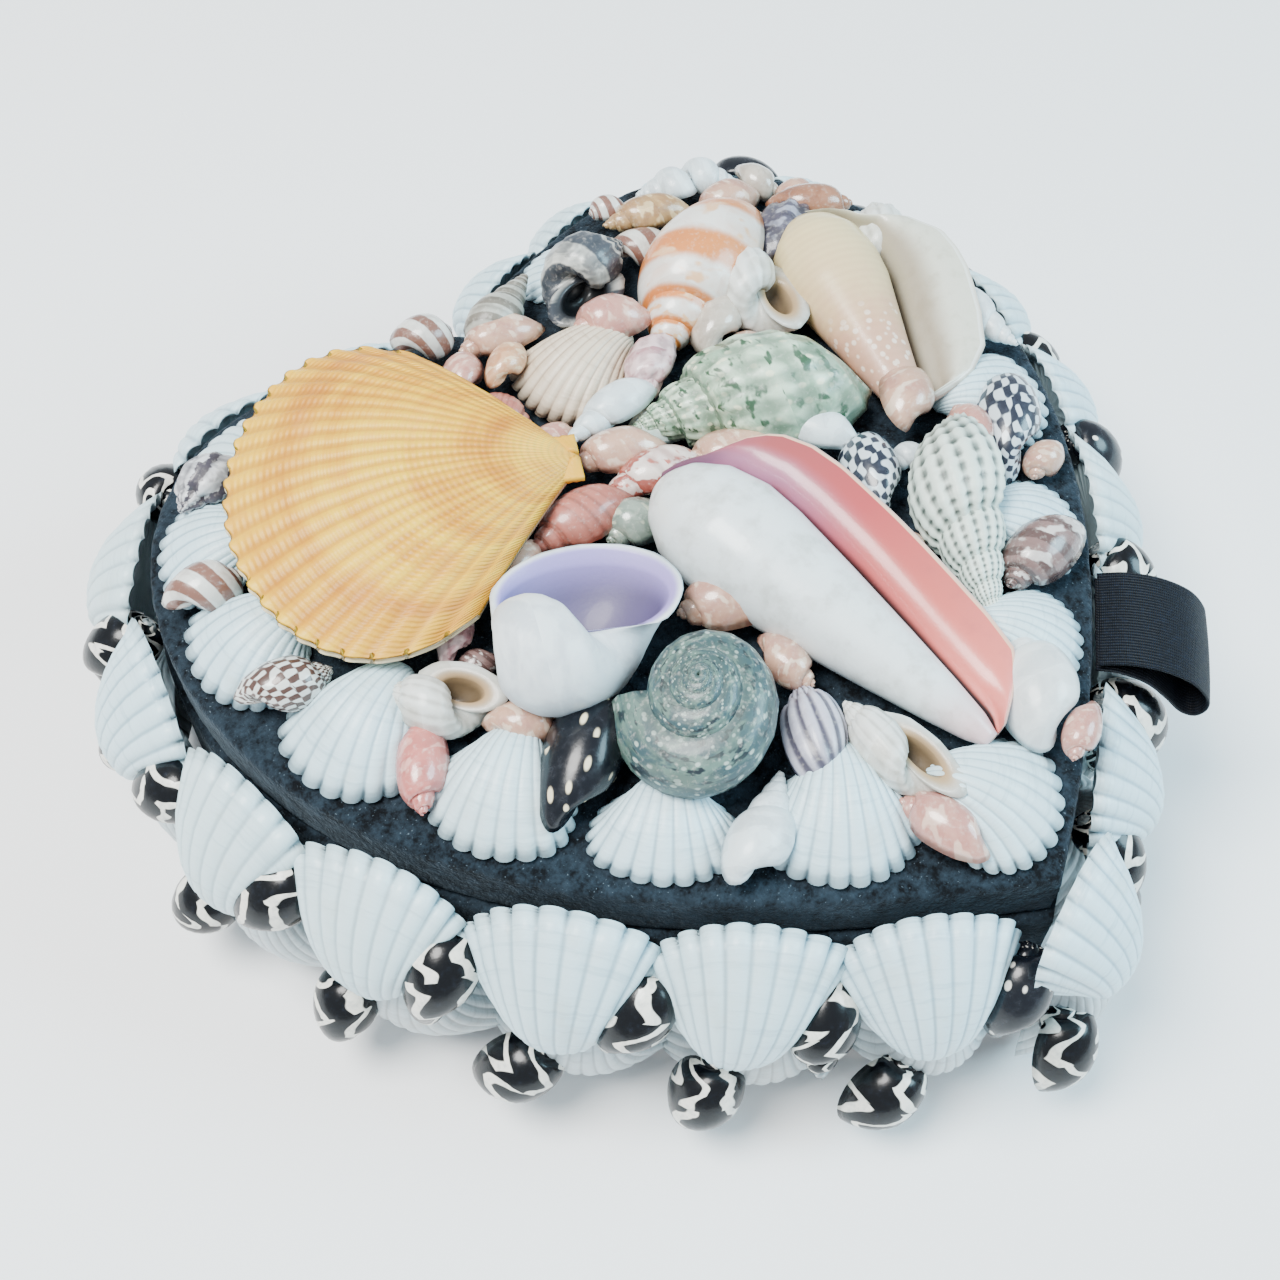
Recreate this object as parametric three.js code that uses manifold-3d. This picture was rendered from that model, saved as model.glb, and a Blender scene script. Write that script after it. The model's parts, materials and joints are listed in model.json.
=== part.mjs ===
// Heart-shaped box covered in velvet, its side and lift-off lid set with sea shells.
// Millimetres, +Z up. The point of the heart looks along -Y, the notch along +Y,
// and the box stands on its flat underside at z = 0.
import * as THREE from 'three';
import { mergeVertices } from 'three/addons/utils/BufferGeometryUtils.js';
import Module from 'manifold-3d';

const wasm = await Module();
wasm.setup();

// ---------------------------------------------------------------- driving sizes
const HEART = {            // outline of the lid edge, right half, from named lengths
  point: 78.1,             // centre to the point of the heart
  halfWidth: 73.2,         // widest half breadth
  widestY: 17.3,           // where it is widest
  lobeTopX: 37.2, lobeTopY: 62.7,
  notchY: 51.5,
  pointAngle: 0.972,       // radians between the axis and the side at the point
  sideReach: 11.5, flankReach: 53.9, shoulderReach: 27.4, lobeReach: 10.7,
};
const CX = 0, CY = 5;      // centre the lid's rings shrink to
const RING_POINTS = 56;    // corners round each outline

const LID_EDGE_Z = 50;     // top edge of the lid
const LID_PLATE = 2.8;     // card and padding of the lid's top
const LID_RIM = 9.5;       // depth of the lid's rim
const LID_WALL = 1.7;
const LID_DOME = 2.0;      // padding's rise at the middle
const FIT_GAP = 0.5;       // lid to tray
const TRAY_FLOOR = 3.0;
const NECK_WALL = 2.2;     // the tray's bare neck under the lid's rim
const WALL_PAD = 1.0;      // the padded wall below stands this far outside the lid's edge

const SHELL_GAP = 0.35;    // shells to velvet
const COCKLE_COIL = 0.70;  // growth rate of a cockle's valve: smaller is rounder
const UPPER = { top: 49.0, height: 26.2, lean: 0.16, back: 1.7 };
const LOWER = { bottom: 1.0, height: 25.2, lean: 0.10, back: 1.9 };

// ---------------------------------------------------------------- colours
const VELVET = 0x2a3f52, RIBBON_BLUE = 0x0c1420, WHITE = 0xdfe6e4, CREAM = 0xe2d9c6;

// ---------------------------------------------------------------- outline
const bezier = (a, b, c, d, t) => {
  const s = 1 - t;
  return [0, 1].map(i => s*s*s*a[i] + 3*s*s*t*b[i] + 3*s*t*t*c[i] + t*t*t*d[i]);
};
function halfHeart(n) {
  const h = HEART, P = [0, -h.point], Q = [h.halfWidth, h.widestY], T = [h.lobeTopX, h.lobeTopY], N = [0, h.notchY];
  const runs = [
    [P, [Math.sin(h.pointAngle)*h.sideReach, -h.point + Math.cos(h.pointAngle)*h.sideReach], [Q[0], Q[1] - h.flankReach], Q],
    [Q, [Q[0], Q[1] + h.shoulderReach], [T[0] + (Q[0] - T[0])*0.55, T[1]], T],
    [T, [T[0] - h.lobeReach, T[1]], [0.25*(T[1] - N[1])*0.6, N[1] + 0.97*(T[1] - N[1])*0.6], N],
  ];
  const out = [];
  runs.forEach((r, k) => { for (let i = k ? 1 : 0; i <= n; i++) out.push(bezier(...r, i/n)); });
  return out;
}
const FINE_HALF = halfHeart(60);
const FINE = [...FINE_HALF, ...FINE_HALF.slice(1, -1).reverse().map(p => [-p[0], p[1]])];
const ARC = [0];
for (let i = 1; i <= FINE.length; i++) {
  const a = FINE[i - 1], b = FINE[i % FINE.length];
  ARC.push(ARC[i - 1] + Math.hypot(b[0] - a[0], b[1] - a[1]));
}
const GIRTH = ARC[FINE.length];
// a point on the lid's edge, s millimetres along it from the heart's point, right side first
function along(s) {
  s = ((s % GIRTH) + GIRTH) % GIRTH;
  let i = 1;
  while (ARC[i] < s) i++;
  const a = FINE[i - 1], b = FINE[i % FINE.length], t = (s - ARC[i - 1])/(ARC[i] - ARC[i - 1]);
  return [a[0] + (b[0] - a[0])*t, a[1] + (b[1] - a[1])*t];
}
function outwardAt(s, span = 6) {
  const a = along(s - span), b = along(s + span), l = Math.hypot(b[0] - a[0], b[1] - a[1]);
  return [(b[1] - a[1])/l, -(b[0] - a[0])/l];
}
// the right half moved out by o, closed on the axis at both ends
function offsetHalf(o) {
  const h = FINE_HALF, out = [];
  for (let i = 0; i < h.length; i++) {
    const a = h[Math.max(0, i - 1)], b = h[Math.min(h.length - 1, i + 1)], l = Math.hypot(b[0] - a[0], b[1] - a[1]);
    out.push([h[i][0] + o*(b[1] - a[1])/l, h[i][1] - o*(b[0] - a[0])/l]);
  }
  const meet = (p, q) => [0, p[1] + (q[1] - p[1])*(0 - p[0])/(q[0] - p[0])];
  let first = 0, last = out.length - 1;
  while (out[first][0] <= 0.05) first++;
  while (out[last][0] <= 0.05) last--;
  const notch = o < 0 ? [0, HEART.notchY + o*1.3] : meet(out[last], out[last - 1]);
  return [meet(out[first], out[first + 1]), ...out.slice(first, last + 1), notch];
}
function resample(line, n) {
  const d = [0];
  for (let i = 1; i < line.length; i++) d.push(d[i - 1] + Math.hypot(line[i][0] - line[i-1][0], line[i][1] - line[i-1][1]));
  const L = d[d.length - 1], out = [];
  for (let k = 0, i = 1; k <= n; k++) {
    const s = L*k/n;
    while (i < d.length - 1 && d[i] < s) i++;
    const t = (s - d[i-1])/(d[i] - d[i-1]);
    out.push([line[i-1][0] + (line[i][0] - line[i-1][0])*t, line[i-1][1] + (line[i][1] - line[i-1][1])*t]);
  }
  return out;
}
function ringOutline(o) {
  const half = resample(offsetHalf(o), RING_POINTS/2);
  return [...half, ...half.slice(1, -1).reverse().map(p => [-p[0], p[1]])];
}

// ---------------------------------------------------------------- mesh helpers
function meshGeometry(verts, tris) {
  const g = new THREE.BufferGeometry();
  g.setAttribute('position', new THREE.Float32BufferAttribute(verts.flat(), 3));
  g.setIndex(tris.flat());
  return g;
}
// closed skin through a list of rings; the first and last entries are single points
function loft(rings) {
  const verts = [], tris = [], at = [];
  rings.forEach(r => { at.push(verts.length); r.forEach(p => verts.push(p)); });
  for (let k = 0; k + 1 < rings.length; k++) {
    const a = rings[k], b = rings[k + 1], A = at[k], B = at[k + 1], n = Math.max(a.length, b.length);
    for (let i = 0; i < n; i++) {
      const j = (i + 1) % n;
      if (a.length === 1) tris.push([A, B + i, B + j]);
      else if (b.length === 1) tris.push([A + i, B, A + j]);
      else { tris.push([A + i, B + i, B + j]); tris.push([A + i, B + j, A + j]); }
    }
  }
  let volume = 0;
  for (const [i, j, k] of tris) {
    const a = verts[i], b = verts[j], c = verts[k];
    volume += a[0]*(b[1]*c[2] - b[2]*c[1]) - a[1]*(b[0]*c[2] - b[2]*c[0]) + a[2]*(b[0]*c[1] - b[1]*c[0]);
  }
  return meshGeometry(verts, volume < 0 ? tris.map(([i, j, k]) => [i, k, j]) : tris);
}
function toSolid(geometry, matrix) {
  let g = geometry.clone();
  g.deleteAttribute('normal'); g.deleteAttribute('uv');
  if (matrix) g.applyMatrix4(matrix);
  g = mergeVertices(g, 1e-4);
  const solid = new wasm.Manifold(new wasm.Mesh({
    numProp: 3,
    vertProperties: new Float32Array(g.attributes.position.array),
    triVerts: new Uint32Array(g.index.array),
  }));
  return solid.volume() < 0 ? fromFlipped(g) : solid;
}
function fromFlipped(g) {
  const idx = new Uint32Array(g.index.array);
  for (let i = 0; i < idx.length; i += 3) { const t = idx[i]; idx[i] = idx[i + 1]; idx[i + 1] = t; }
  return new wasm.Manifold(new wasm.Mesh({ numProp: 3, vertProperties: new Float32Array(g.attributes.position.array), triVerts: idx }));
}
function fromSolid(solid) {
  const m = solid.getMesh(), verts = [], tris = [];
  for (let i = 0; i < m.vertProperties.length; i += m.numProp) verts.push([m.vertProperties[i], m.vertProperties[i+1], m.vertProperties[i+2]]);
  for (let i = 0; i < m.triVerts.length; i += 3) tris.push([m.triVerts[i], m.triVerts[i+1], m.triVerts[i+2]]);
  return meshGeometry(verts, tris);
}

// ---------------------------------------------------------------- scene group
const box = new THREE.Group();
function addMesh(name, geometry, colour, roughness = 0.45, metalness = 0) {
  const mesh = new THREE.Mesh(geometry, new THREE.MeshStandardMaterial({ color: colour, roughness, metalness }));
  mesh.name = name;
  box.add(mesh);
  return mesh;
}
// places a shell by its own axes: origin, y along its height, z away from what it is glued to
function frameMatrix(origin, ey, ez) {
  const y = new THREE.Vector3(...ey).normalize();
  const z = new THREE.Vector3(...ez).addScaledVector(y, -new THREE.Vector3(...ez).dot(y)).normalize();
  const x = new THREE.Vector3().crossVectors(y, z);
  const m = new THREE.Matrix4().makeBasis(x, y, z);
  m.setPosition(new THREE.Vector3(...origin));
  return m;
}
function placed(name, geometry, matrix, colour, roughness, metalness) {
  const mesh = addMesh(name, geometry, colour, roughness, metalness);
  matrix.decompose(mesh.position, mesh.quaternion, mesh.scale);
  return mesh;
}

// ---------------------------------------------------------------- box tray and lid
const up = (ring, z) => ring.map(p => [p[0], p[1], z]);
const shrink = (ring, t, z) => ring.map(p => [CX + (p[0] - CX)*t, CY + (p[1] - CY)*t, z]);
const NECK_OUT = -(LID_WALL + FIT_GAP);
const rimBottom = LID_EDGE_Z - LID_RIM, plateUnder = LID_EDGE_Z - LID_PLATE;
const shoulderZ = rimBottom - FIT_GAP, neckTop = plateUnder - FIT_GAP;
const wallOut = ringOutline(WALL_PAD), neckOut = ringOutline(NECK_OUT), neckIn = ringOutline(NECK_OUT - NECK_WALL);

addMesh('box_tray', loft([
  [[CX, CY, 0]], up(wallOut, 0), up(wallOut, shoulderZ), up(neckOut, shoulderZ), up(neckOut, neckTop),
  up(neckIn, neckTop), up(neckIn, TRAY_FLOOR), [[CX, CY, TRAY_FLOOR]],
]), VELVET, 0.95);

const edge = ringOutline(0), edgeIn = ringOutline(-LID_WALL), edgeTop = ringOutline(-0.9);
addMesh('lid', loft([
  [[CX, CY, plateUnder]], up(edgeIn, plateUnder), up(edgeIn, rimBottom), up(edge, rimBottom), up(edge, LID_EDGE_Z - 0.8),
  up(edgeTop, LID_EDGE_Z), shrink(edgeTop, 0.82, LID_EDGE_Z + LID_DOME*0.55), shrink(edgeTop, 0.42, LID_EDGE_Z + LID_DOME*0.94),
  [[CX, CY, LID_EDGE_Z + LID_DOME]],
]), VELVET, 0.95);

// ---------------------------------------------------------------- shells
// Bivalve valve: its rim is an oval of width w and height h, and every earlier rim is the
// same oval, smaller and turned up about the hinge line, which gives the curled umbo.
function bivalve(w, h, coil, opts = {}) {
  const n = opts.n ?? 12, turns = opts.turns ?? [0, 0.42, 0.95, 1.6], end = opts.end ?? 2.35;
  const overhang = Math.exp(-coil*2.35)*0.72;
  const reach = h/(1 + overhang), rings = [];
  const oval = [];
  for (let i = 0; i < n; i++) {
    const a = Math.PI*2*(i + 0.5)/n;                     // 0 is the hinge
    const k = 1 - Math.cos(a);
    oval.push([Math.sin(a)*w/2*(0.925 + 0.15*k/2), reach*(0.045 + 0.955*k/2)]);   // a little broader toward the rim
  }
  turns.forEach(b => { const s = Math.exp(-coil*b); rings.push(oval.map(p => [p[0]*s, p[1]*s*Math.cos(b), p[1]*s*Math.sin(b)])); });
  const s = Math.exp(-coil*end), tip = [0, 0.55*reach*s*Math.cos(end), 0.55*reach*s*Math.sin(end)];
  return loft([[[0, reach*0.52, 0]], ...rings, [tip]]);
}
const bivalveReach = (h, coil) => h/(1 + Math.exp(-coil*2.35)*0.72);

// Turned shell: radii down the axis from the apex, in fractions of length and width
function turned(length, width, profile, sides = 12, squash = 1) {
  const pts = [[0, 0], ...profile, [0, 1]].map(p => new THREE.Vector2(p[0]*width/2, p[1]*length));
  let g = new THREE.LatheGeometry(pts, sides);
  g.deleteAttribute('normal'); g.deleteAttribute('uv');
  if (squash !== 1) g.scale(1, 1, squash);
  g = mergeVertices(g, 1e-4);
  return fromSolid(toSolid(g));
}

// --- rows round the side: distance along the lid's edge of each shell's middle
const UPPER_ROW = [3, 24.5, 48.3, 72, 95, 114.5, 134, 153.5, 174, 192.5, 211, 249.5, 273, 297, 320, 344, 368, 393, 417.7, 442];
const LOWER_ROW = UPPER_ROW.map((s, i) => s + (i === 0 ? 0 : i < 10 ? 1.5 : i < 12 ? 0 : 3.5));
function pitchAt(row, i, o) {
  const at = k => { const s = row[(k + row.length) % row.length], p = along(s), n = outwardAt(s); return [p[0] + n[0]*o, p[1] + n[1]*o]; };
  const a = at(i - 1), b = at(i), c = at(i + 1);
  return Math.min(Math.hypot(a[0]-b[0], a[1]-b[1]), Math.hypot(c[0]-b[0], c[1]-b[1]));
}
const pad2 = i => String(i + 1).padStart(2, '0');

UPPER_ROW.forEach((s, i) => {
  const low = i === 2 ? 5.0 : 0;                          // the one under the ribbon sits lower
  const w = Math.min(25.5, pitchAt(UPPER_ROW, i, 3.5)*0.985), h = UPPER.height - low*1.1;
  const p = along(s), n = outwardAt(s), c = Math.cos(UPPER.lean), t = Math.sin(UPPER.lean);
  const ey = [-n[0]*t, -n[1]*t, c], ez = [n[0]*c, n[1]*c, t];
  const reach = bivalveReach(h, COCKLE_COIL);
  const zo = UPPER.top - low - reach*c, oo = UPPER.back + reach*t;
  placed('upper_cockle_' + pad2(i), bivalve(w, h, COCKLE_COIL), frameMatrix([p[0] + n[0]*oo, p[1] + n[1]*oo, zo], ey, ez), WHITE, 0.4);
});

function lowerCockle(i) {
  const s = LOWER_ROW[i], w = Math.min(25, pitchAt(LOWER_ROW, i, 3.5)*0.985), h = LOWER.height;
  const p = along(s), n = outwardAt(s), c = Math.cos(LOWER.lean), t = Math.sin(LOWER.lean), back = LOWER.back + (i === 0 ? 2.2 : 0.2);
  const ey = [n[0]*t, n[1]*t, -c], ez = [n[0]*c, n[1]*c, t];
  const reach = bivalveReach(h, COCKLE_COIL);
  return toSolid(bivalve(w, h, COCKLE_COIL), frameMatrix([p[0] + n[0]*back, p[1] + n[1]*back, LOWER.bottom + reach*c], ey, ez));
}
// a zebra nerite sits in the gap between each two lower cockles and touches both
const NERITE = [[0.42, 0.06], [0.86, 0.3], [1.0, 0.6], [0.72, 0.9]];
for (let k = 0; k < LOWER_ROW.length/2; k++) {
  const i = (2*k + LOWER_ROW.length - 1) % LOWER_ROW.length, j = (i + 1) % LOWER_ROW.length, a = LOWER_ROW[i], b = LOWER_ROW[j];
  const mid = a + ((b - a + GIRTH) % GIRTH)/2, p = along(mid), n = outwardAt(mid);
  const o = 7.2, m = frameMatrix([p[0] + n[0]*o, p[1] + n[1]*o, 21.5], [0, 0, -1], [n[0], n[1], 0]);
  const solid = lowerCockle(i).add(lowerCockle(j)).add(toSolid(turned(16, 13.5, NERITE, 8, 0.8), m));
  addMesh('lower_cockles_' + pad2(k), fromSolid(solid), WHITE, 0.4);
}

// ---------------------------------------------------------------- shells on the lid
const DOME = [[0, LID_DOME], [0.42, LID_DOME*0.94], [0.82, LID_DOME*0.55], [1, 0], [9, 0]];
function lidZ(x, y) {                                     // height of the lid's top face
  let t = 0;
  for (let i = 0; i < edgeTop.length; i++) {
    const a = edgeTop[i], b = edgeTop[(i + 1) % edgeTop.length];
    const ax = a[0] - CX, ay = a[1] - CY, bx = b[0] - CX, by = b[1] - CY, dx = x - CX, dy = y - CY;
    const det = ax*by - ay*bx, u = (dx*by - dy*bx)/det, v = (ax*dy - ay*dx)/det;
    if (u >= -1e-9 && v >= -1e-9) { t = u + v; break; }
  }
  let k = 1;
  while (DOME[k][0] < t) k++;
  const [t0, z0] = DOME[k - 1], [t1, z1] = DOME[k];
  return LID_EDGE_Z + z0 + (z1 - z0)*(t - t0)/(t1 - t0);
}

// cockles round the lid's edge, rims outward: distance along the edge, breadth, height
const EDGE_COCKLES = [
  [7.8, 18.5, 18], [37.4, 15.5, 15], [58.7, 16, 14.5], [86.5, 17.5, 17], [116.5, 15, 13.5], [134.5, 13.5, 13],
  [209.9, 13, 10.5], [257, 16, 12.5], [281, 16.5, 13], [304.7, 17, 14], [329.1, 18.5, 16.5], [355.8, 19, 19.5],
  [381.4, 18.5, 17], [406.4, 17.5, 12], [431.6, 19, 18.5],
];
EDGE_COCKLES.forEach(([s, w, h], i) => {
  const coil = 0.82, reach = bivalveReach(h, coil), p = along(s), n = outwardAt(s, 8), inset = 2.4;
  const rim = [p[0] - n[0]*inset, p[1] - n[1]*inset], hinge = [p[0] - n[0]*(inset + reach), p[1] - n[1]*(inset + reach)];
  const z0 = lidZ(...hinge) + SHELL_GAP + 0.25, z1 = lidZ(...rim) + SHELL_GAP + 0.45;
  placed('edge_cockle_' + pad2(i), bivalve(w, h, coil), frameMatrix([hinge[0], hinge[1], z0], [rim[0] - hinge[0], rim[1] - hinge[1], z1 - z0], [0, 0, 1]), WHITE, 0.4);
});

// a turned shell laid down: from its spire end to its mouth end, plan positions and heights above the lid
function laid(name, a, za, b, zb, width, profile, colour, roughness, sides = 12, squash = 1) {
  const A = [a[0], a[1], lidZ(...a) + za], B = [b[0], b[1], lidZ(...b) + zb];
  const d = [0, 1, 2].map(i => B[i] - A[i]), length = Math.hypot(...d);
  return placed(name, turned(length, width, profile, sides, squash), frameMatrix(A, d, [0, 0, 1]), colour, roughness);
}
{ // big yellow scallop, hinge toward the middle of the lid, fan over the left lobe
  const hinge = [-10.5, 14.6], rim = [-51.5, 41.5], z = 8.2, w = 50, coil = 2.1;
  const h = Math.hypot(rim[0] - hinge[0], rim[1] - hinge[1])*(1 + Math.exp(-coil*2.35)*0.72);
  placed('scallop', bivalve(w, h, coil, { n: 18, turns: [0, 0.16, 0.42, 0.95], end: 2.2 }),
    frameMatrix([hinge[0], hinge[1], lidZ(...hinge) + z], [rim[0] - hinge[0], rim[1] - hinge[1], 0.6], [0, 0, 1]), 0xe0bb48, 0.5);
}
laid('strawberry_conch', [1.6, -5.0], 12.3, [6.4, -57.0], 6.8, 21.5,
  [[0.12, 0.03], [0.30, 0.08], [0.72, 0.16], [0.98, 0.25], [1.0, 0.36], [0.86, 0.56], [0.60, 0.76], [0.34, 0.92], [0.16, 0.985]], 0xd9dcd8, 0.3, 14, 0.92);
laid('violet_snail', [-33.7, -8.3], 11.3, [-19.7, -14.5], 11.3, 21.0,
  [[0.35, 0.02], [0.78, 0.16], [1.0, 0.42], [0.97, 0.68], [0.70, 0.92], [0.40, 0.985]], 0xcfc8dc, 0.3, 14);
{ // top shell standing on its mouth, leaning a little
  const A = [-24.2, -31.2], m = frameMatrix([A[0] - 2.4, A[1], lidZ(...A) + 18.8], [0.16, 0, -1], [1, 0, 0]);
  placed('top_shell', turned(16.2, 21.4, [[0.16, 0.06], [0.52, 0.30], [0.60, 0.33], [0.90, 0.62], [1.0, 0.74], [0.92, 0.90], [0.5, 0.985]], 14), m, 0x4f6a6e, 0.45);
}
laid('dotted_nerite', [-33.7, -20.1], 5.0, [-46.2, -30.4], 4.7, 8.8,
  [[0.36, 0.05], [0.78, 0.24], [1.0, 0.55], [0.84, 0.85], [0.4, 0.98]], 0x14171d, 0.15, 10, 0.95);
laid('green_turban', [2.6, 10.9], 5.0, [34.5, 1.9], 9.6, 16.6,
  [[0.10, 0.05], [0.30, 0.20], [0.36, 0.22], [0.56, 0.42], [0.64, 0.45], [0.92, 0.64], [1.0, 0.78], [0.80, 0.93], [0.4, 0.99]], 0xa9c4b2, 0.35, 12);
laid('banded_shell', [21.5, 25.6], 7.2, [46.0, 39.6], 8.6, 15.8,
  [[0.30, 0.04], [0.62, 0.20], [0.90, 0.45], [1.0, 0.68], [0.74, 0.90], [0.34, 0.98]], 0xd9a878, 0.25, 12);
laid('tan_conch', [52.5, 21.6], 8.6, [42.5, -6.2], 7.2, 15.0,
  [[0.16, 0.04], [0.50, 0.14], [0.96, 0.30], [1.0, 0.42], [0.78, 0.68], [0.46, 0.90], [0.2, 0.985]], 0xcdb08c, 0.35, 12);
{ // ribbed cockle near the notch
  const hinge = [8.2, 25.0], rim = [4.6, 39.6], coil = 0.85;
  const h = Math.hypot(rim[0] - hinge[0], rim[1] - hinge[1])*(1 + Math.exp(-coil*2.35)*0.72);
  placed('ribbed_cockle', bivalve(17, h, coil, { n: 14 }), frameMatrix([hinge[0], hinge[1], lidZ(...hinge) + 0.8], [rim[0] - hinge[0], rim[1] - hinge[1], 0], [0, 0, 1]), CREAM, 0.5);
}
laid('cancellate_turret', [21.0, -42.2], 5.8, [33.4, -18.2], 9.2, 13.0,
  [[0.12, 0.05], [0.34, 0.20], [0.42, 0.22], [0.64, 0.42], [0.72, 0.45], [0.98, 0.66], [1.0, 0.80], [0.72, 0.95]], 0xb6c6bc, 0.5, 12);
laid('dark_nassa', [10.6, 41.0], 5.6, [22.0, 46.4], 6.6, 10.2,
  [[0.22, 0.08], [0.55, 0.30], [0.64, 0.33], [1.0, 0.62], [0.94, 0.84], [0.45, 0.98]], 0x8c8f90, 0.4, 10);
laid('white_snail', [12.9, -61.6], 4.8, [19.6, -51.9], 5.4, 8.6,
  [[0.3, 0.06], [0.66, 0.28], [1.0, 0.62], [0.8, 0.9], [0.35, 0.985]], 0xdfe3e2, 0.3, 10);

// ---------------------------------------------------------------- ribbon pull
// one strip folded into a loop: glued ends at the lid's rim, the fold hanging out past the shells
const RIBBON = { width: 16.5, thick: 0.7, at: 44.2 };
{
  const line = [[0.7, 49.3], [5, 50.2], [10, 49.6], [14.8, 47.4], [17.8, 43.9], [18.4, 41.0], [17.2, 39.2], [15.0, 40.2], [12.0, 43.4], [8.5, 46.4], [4, 48.1], [0.7, 48.0]];
  const t = RIBBON.thick/2, left = [], right = [];
  line.forEach((q, i) => {
    const a = line[Math.max(0, i - 1)], b = line[Math.min(line.length - 1, i + 1)], l = Math.hypot(b[0] - a[0], b[1] - a[1]);
    const m = [-(b[1] - a[1])/l*t, (b[0] - a[0])/l*t];
    left.push([q[0] + m[0], q[1] + m[1]]); right.push([q[0] - m[0], q[1] - m[1]]);
  });
  const shape = new THREE.Shape([...left, ...right.reverse()].map(q => new THREE.Vector2(q[0], q[1])));
  const strip = new THREE.ExtrudeGeometry(shape, { depth: RIBBON.width, bevelEnabled: false, steps: 1 });
  strip.translate(0, 0, -RIBBON.width/2);
  const p = along(RIBBON.at), n = outwardAt(RIBBON.at);
  const m = new THREE.Matrix4().makeBasis(new THREE.Vector3(n[0], n[1], 0), new THREE.Vector3(0, 0, 1), new THREE.Vector3(n[1], -n[0], 0));
  m.setPosition(new THREE.Vector3(p[0], p[1], 0));
  const g = fromSolid(toSolid(strip));
  placed('ribbon_pull', g, m, RIBBON_BLUE, 0.6);
}

export default box;
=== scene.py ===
import json
import math

import bpy
import numpy as np
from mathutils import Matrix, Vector, noise

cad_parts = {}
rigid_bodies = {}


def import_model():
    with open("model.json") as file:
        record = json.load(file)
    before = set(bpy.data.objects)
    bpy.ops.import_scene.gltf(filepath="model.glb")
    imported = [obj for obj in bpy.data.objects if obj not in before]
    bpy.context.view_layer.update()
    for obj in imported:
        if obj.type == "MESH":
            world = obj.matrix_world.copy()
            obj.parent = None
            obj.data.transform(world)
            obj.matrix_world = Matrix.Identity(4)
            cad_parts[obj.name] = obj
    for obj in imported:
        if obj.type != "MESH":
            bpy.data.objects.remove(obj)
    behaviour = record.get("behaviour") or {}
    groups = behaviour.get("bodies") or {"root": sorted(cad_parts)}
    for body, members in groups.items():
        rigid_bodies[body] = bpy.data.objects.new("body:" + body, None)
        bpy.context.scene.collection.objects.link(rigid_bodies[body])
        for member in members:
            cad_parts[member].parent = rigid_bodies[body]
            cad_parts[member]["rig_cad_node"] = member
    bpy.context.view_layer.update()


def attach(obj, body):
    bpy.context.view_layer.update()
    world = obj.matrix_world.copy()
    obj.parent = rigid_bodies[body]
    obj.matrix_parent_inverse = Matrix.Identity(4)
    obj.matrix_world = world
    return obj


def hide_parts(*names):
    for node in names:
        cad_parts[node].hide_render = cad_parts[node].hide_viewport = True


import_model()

MM = 0.001
TAU = 2 * math.pi

# ------------------------------------------------------------------ camera
AZ, EL = math.radians(-40.405), math.radians(56.498)
BACK = Vector((math.sin(AZ) * math.cos(EL), -math.cos(AZ) * math.cos(EL), math.sin(EL)))
cam_data = bpy.data.cameras.new("view")
cam = bpy.data.objects.new("view", cam_data)
bpy.context.scene.collection.objects.link(cam)
cam.location = Vector((-104.36, -113.53, 250.82)) * MM
cam.rotation_mode = "QUATERNION"
cam.rotation_quaternion = (-BACK).to_track_quat("-Z", "Y")
cam_data.sensor_width = 36.0
cam_data.lens = 46.396
cam_data.clip_start, cam_data.clip_end = 0.01, 10.0
bpy.context.scene.camera = cam

# ------------------------------------------------------------------ sizes, as in the CAD part (mm)
POINT, HALF_W, WIDEST_Y = 78.1, 73.2, 17.3
LOBE_X, LOBE_Y, NOTCH_Y = 37.2, 62.7, 51.5
POINT_ANGLE, SIDE_R, FLANK_R, SHOULDER_R, LOBE_R = 0.972, 11.5, 53.9, 27.4, 10.7
CX, CY = 0.0, 5.0
LID_TOP, LID_PLATE, LID_RIM, LID_WALL, LID_DOME = 50.0, 2.8, 9.5, 1.7, 2.0
FIT_GAP, TRAY_FLOOR, NECK_WALL, WALL_PAD = 0.5, 3.0, 2.2, 1.0


def unit(v):
    v = np.asarray(v, float)
    return v / np.linalg.norm(v)


def bezier(a, b, c, d, n, first):
    t = np.linspace(0, 1, n + 1)[(0 if first else 1):, None]
    s = 1 - t
    return s**3 * a + 3 * s * s * t * b + 3 * s * t * t * c + t**3 * d


def half_heart(n):
    P, Q = np.array([0, -POINT]), np.array([HALF_W, WIDEST_Y])
    T, N = np.array([LOBE_X, LOBE_Y]), np.array([0, NOTCH_Y])
    d = np.array([math.sin(POINT_ANGLE), math.cos(POINT_ANGLE)]) * SIDE_R
    drop = (LOBE_Y - NOTCH_Y) * 0.6
    return np.vstack([
        bezier(P, P + d, Q - [0, FLANK_R], Q, n, True),
        bezier(Q, Q + [0, SHOULDER_R], np.array([LOBE_X + (HALF_W - LOBE_X) * 0.55, LOBE_Y]), T, n, False),
        bezier(T, T - [LOBE_R, 0], N + [0.25 * drop, 0.97 * drop], N, n, False),
    ])


HALF = half_heart(60)
FINE = np.vstack([HALF, HALF[1:-1][::-1] * [-1, 1]])
STEP = np.linalg.norm(np.roll(FINE, -1, 0) - FINE, axis=1)
ARC = np.concatenate([[0], np.cumsum(STEP)])
GIRTH = ARC[-1]


def along(s):
    """A point on the lid's edge, s mm along it from the heart's point, right side first."""
    s = s % GIRTH
    loop = np.vstack([FINE, FINE[:1]])
    return np.array([np.interp(s, ARC, loop[:, 0]), np.interp(s, ARC, loop[:, 1])])


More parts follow.
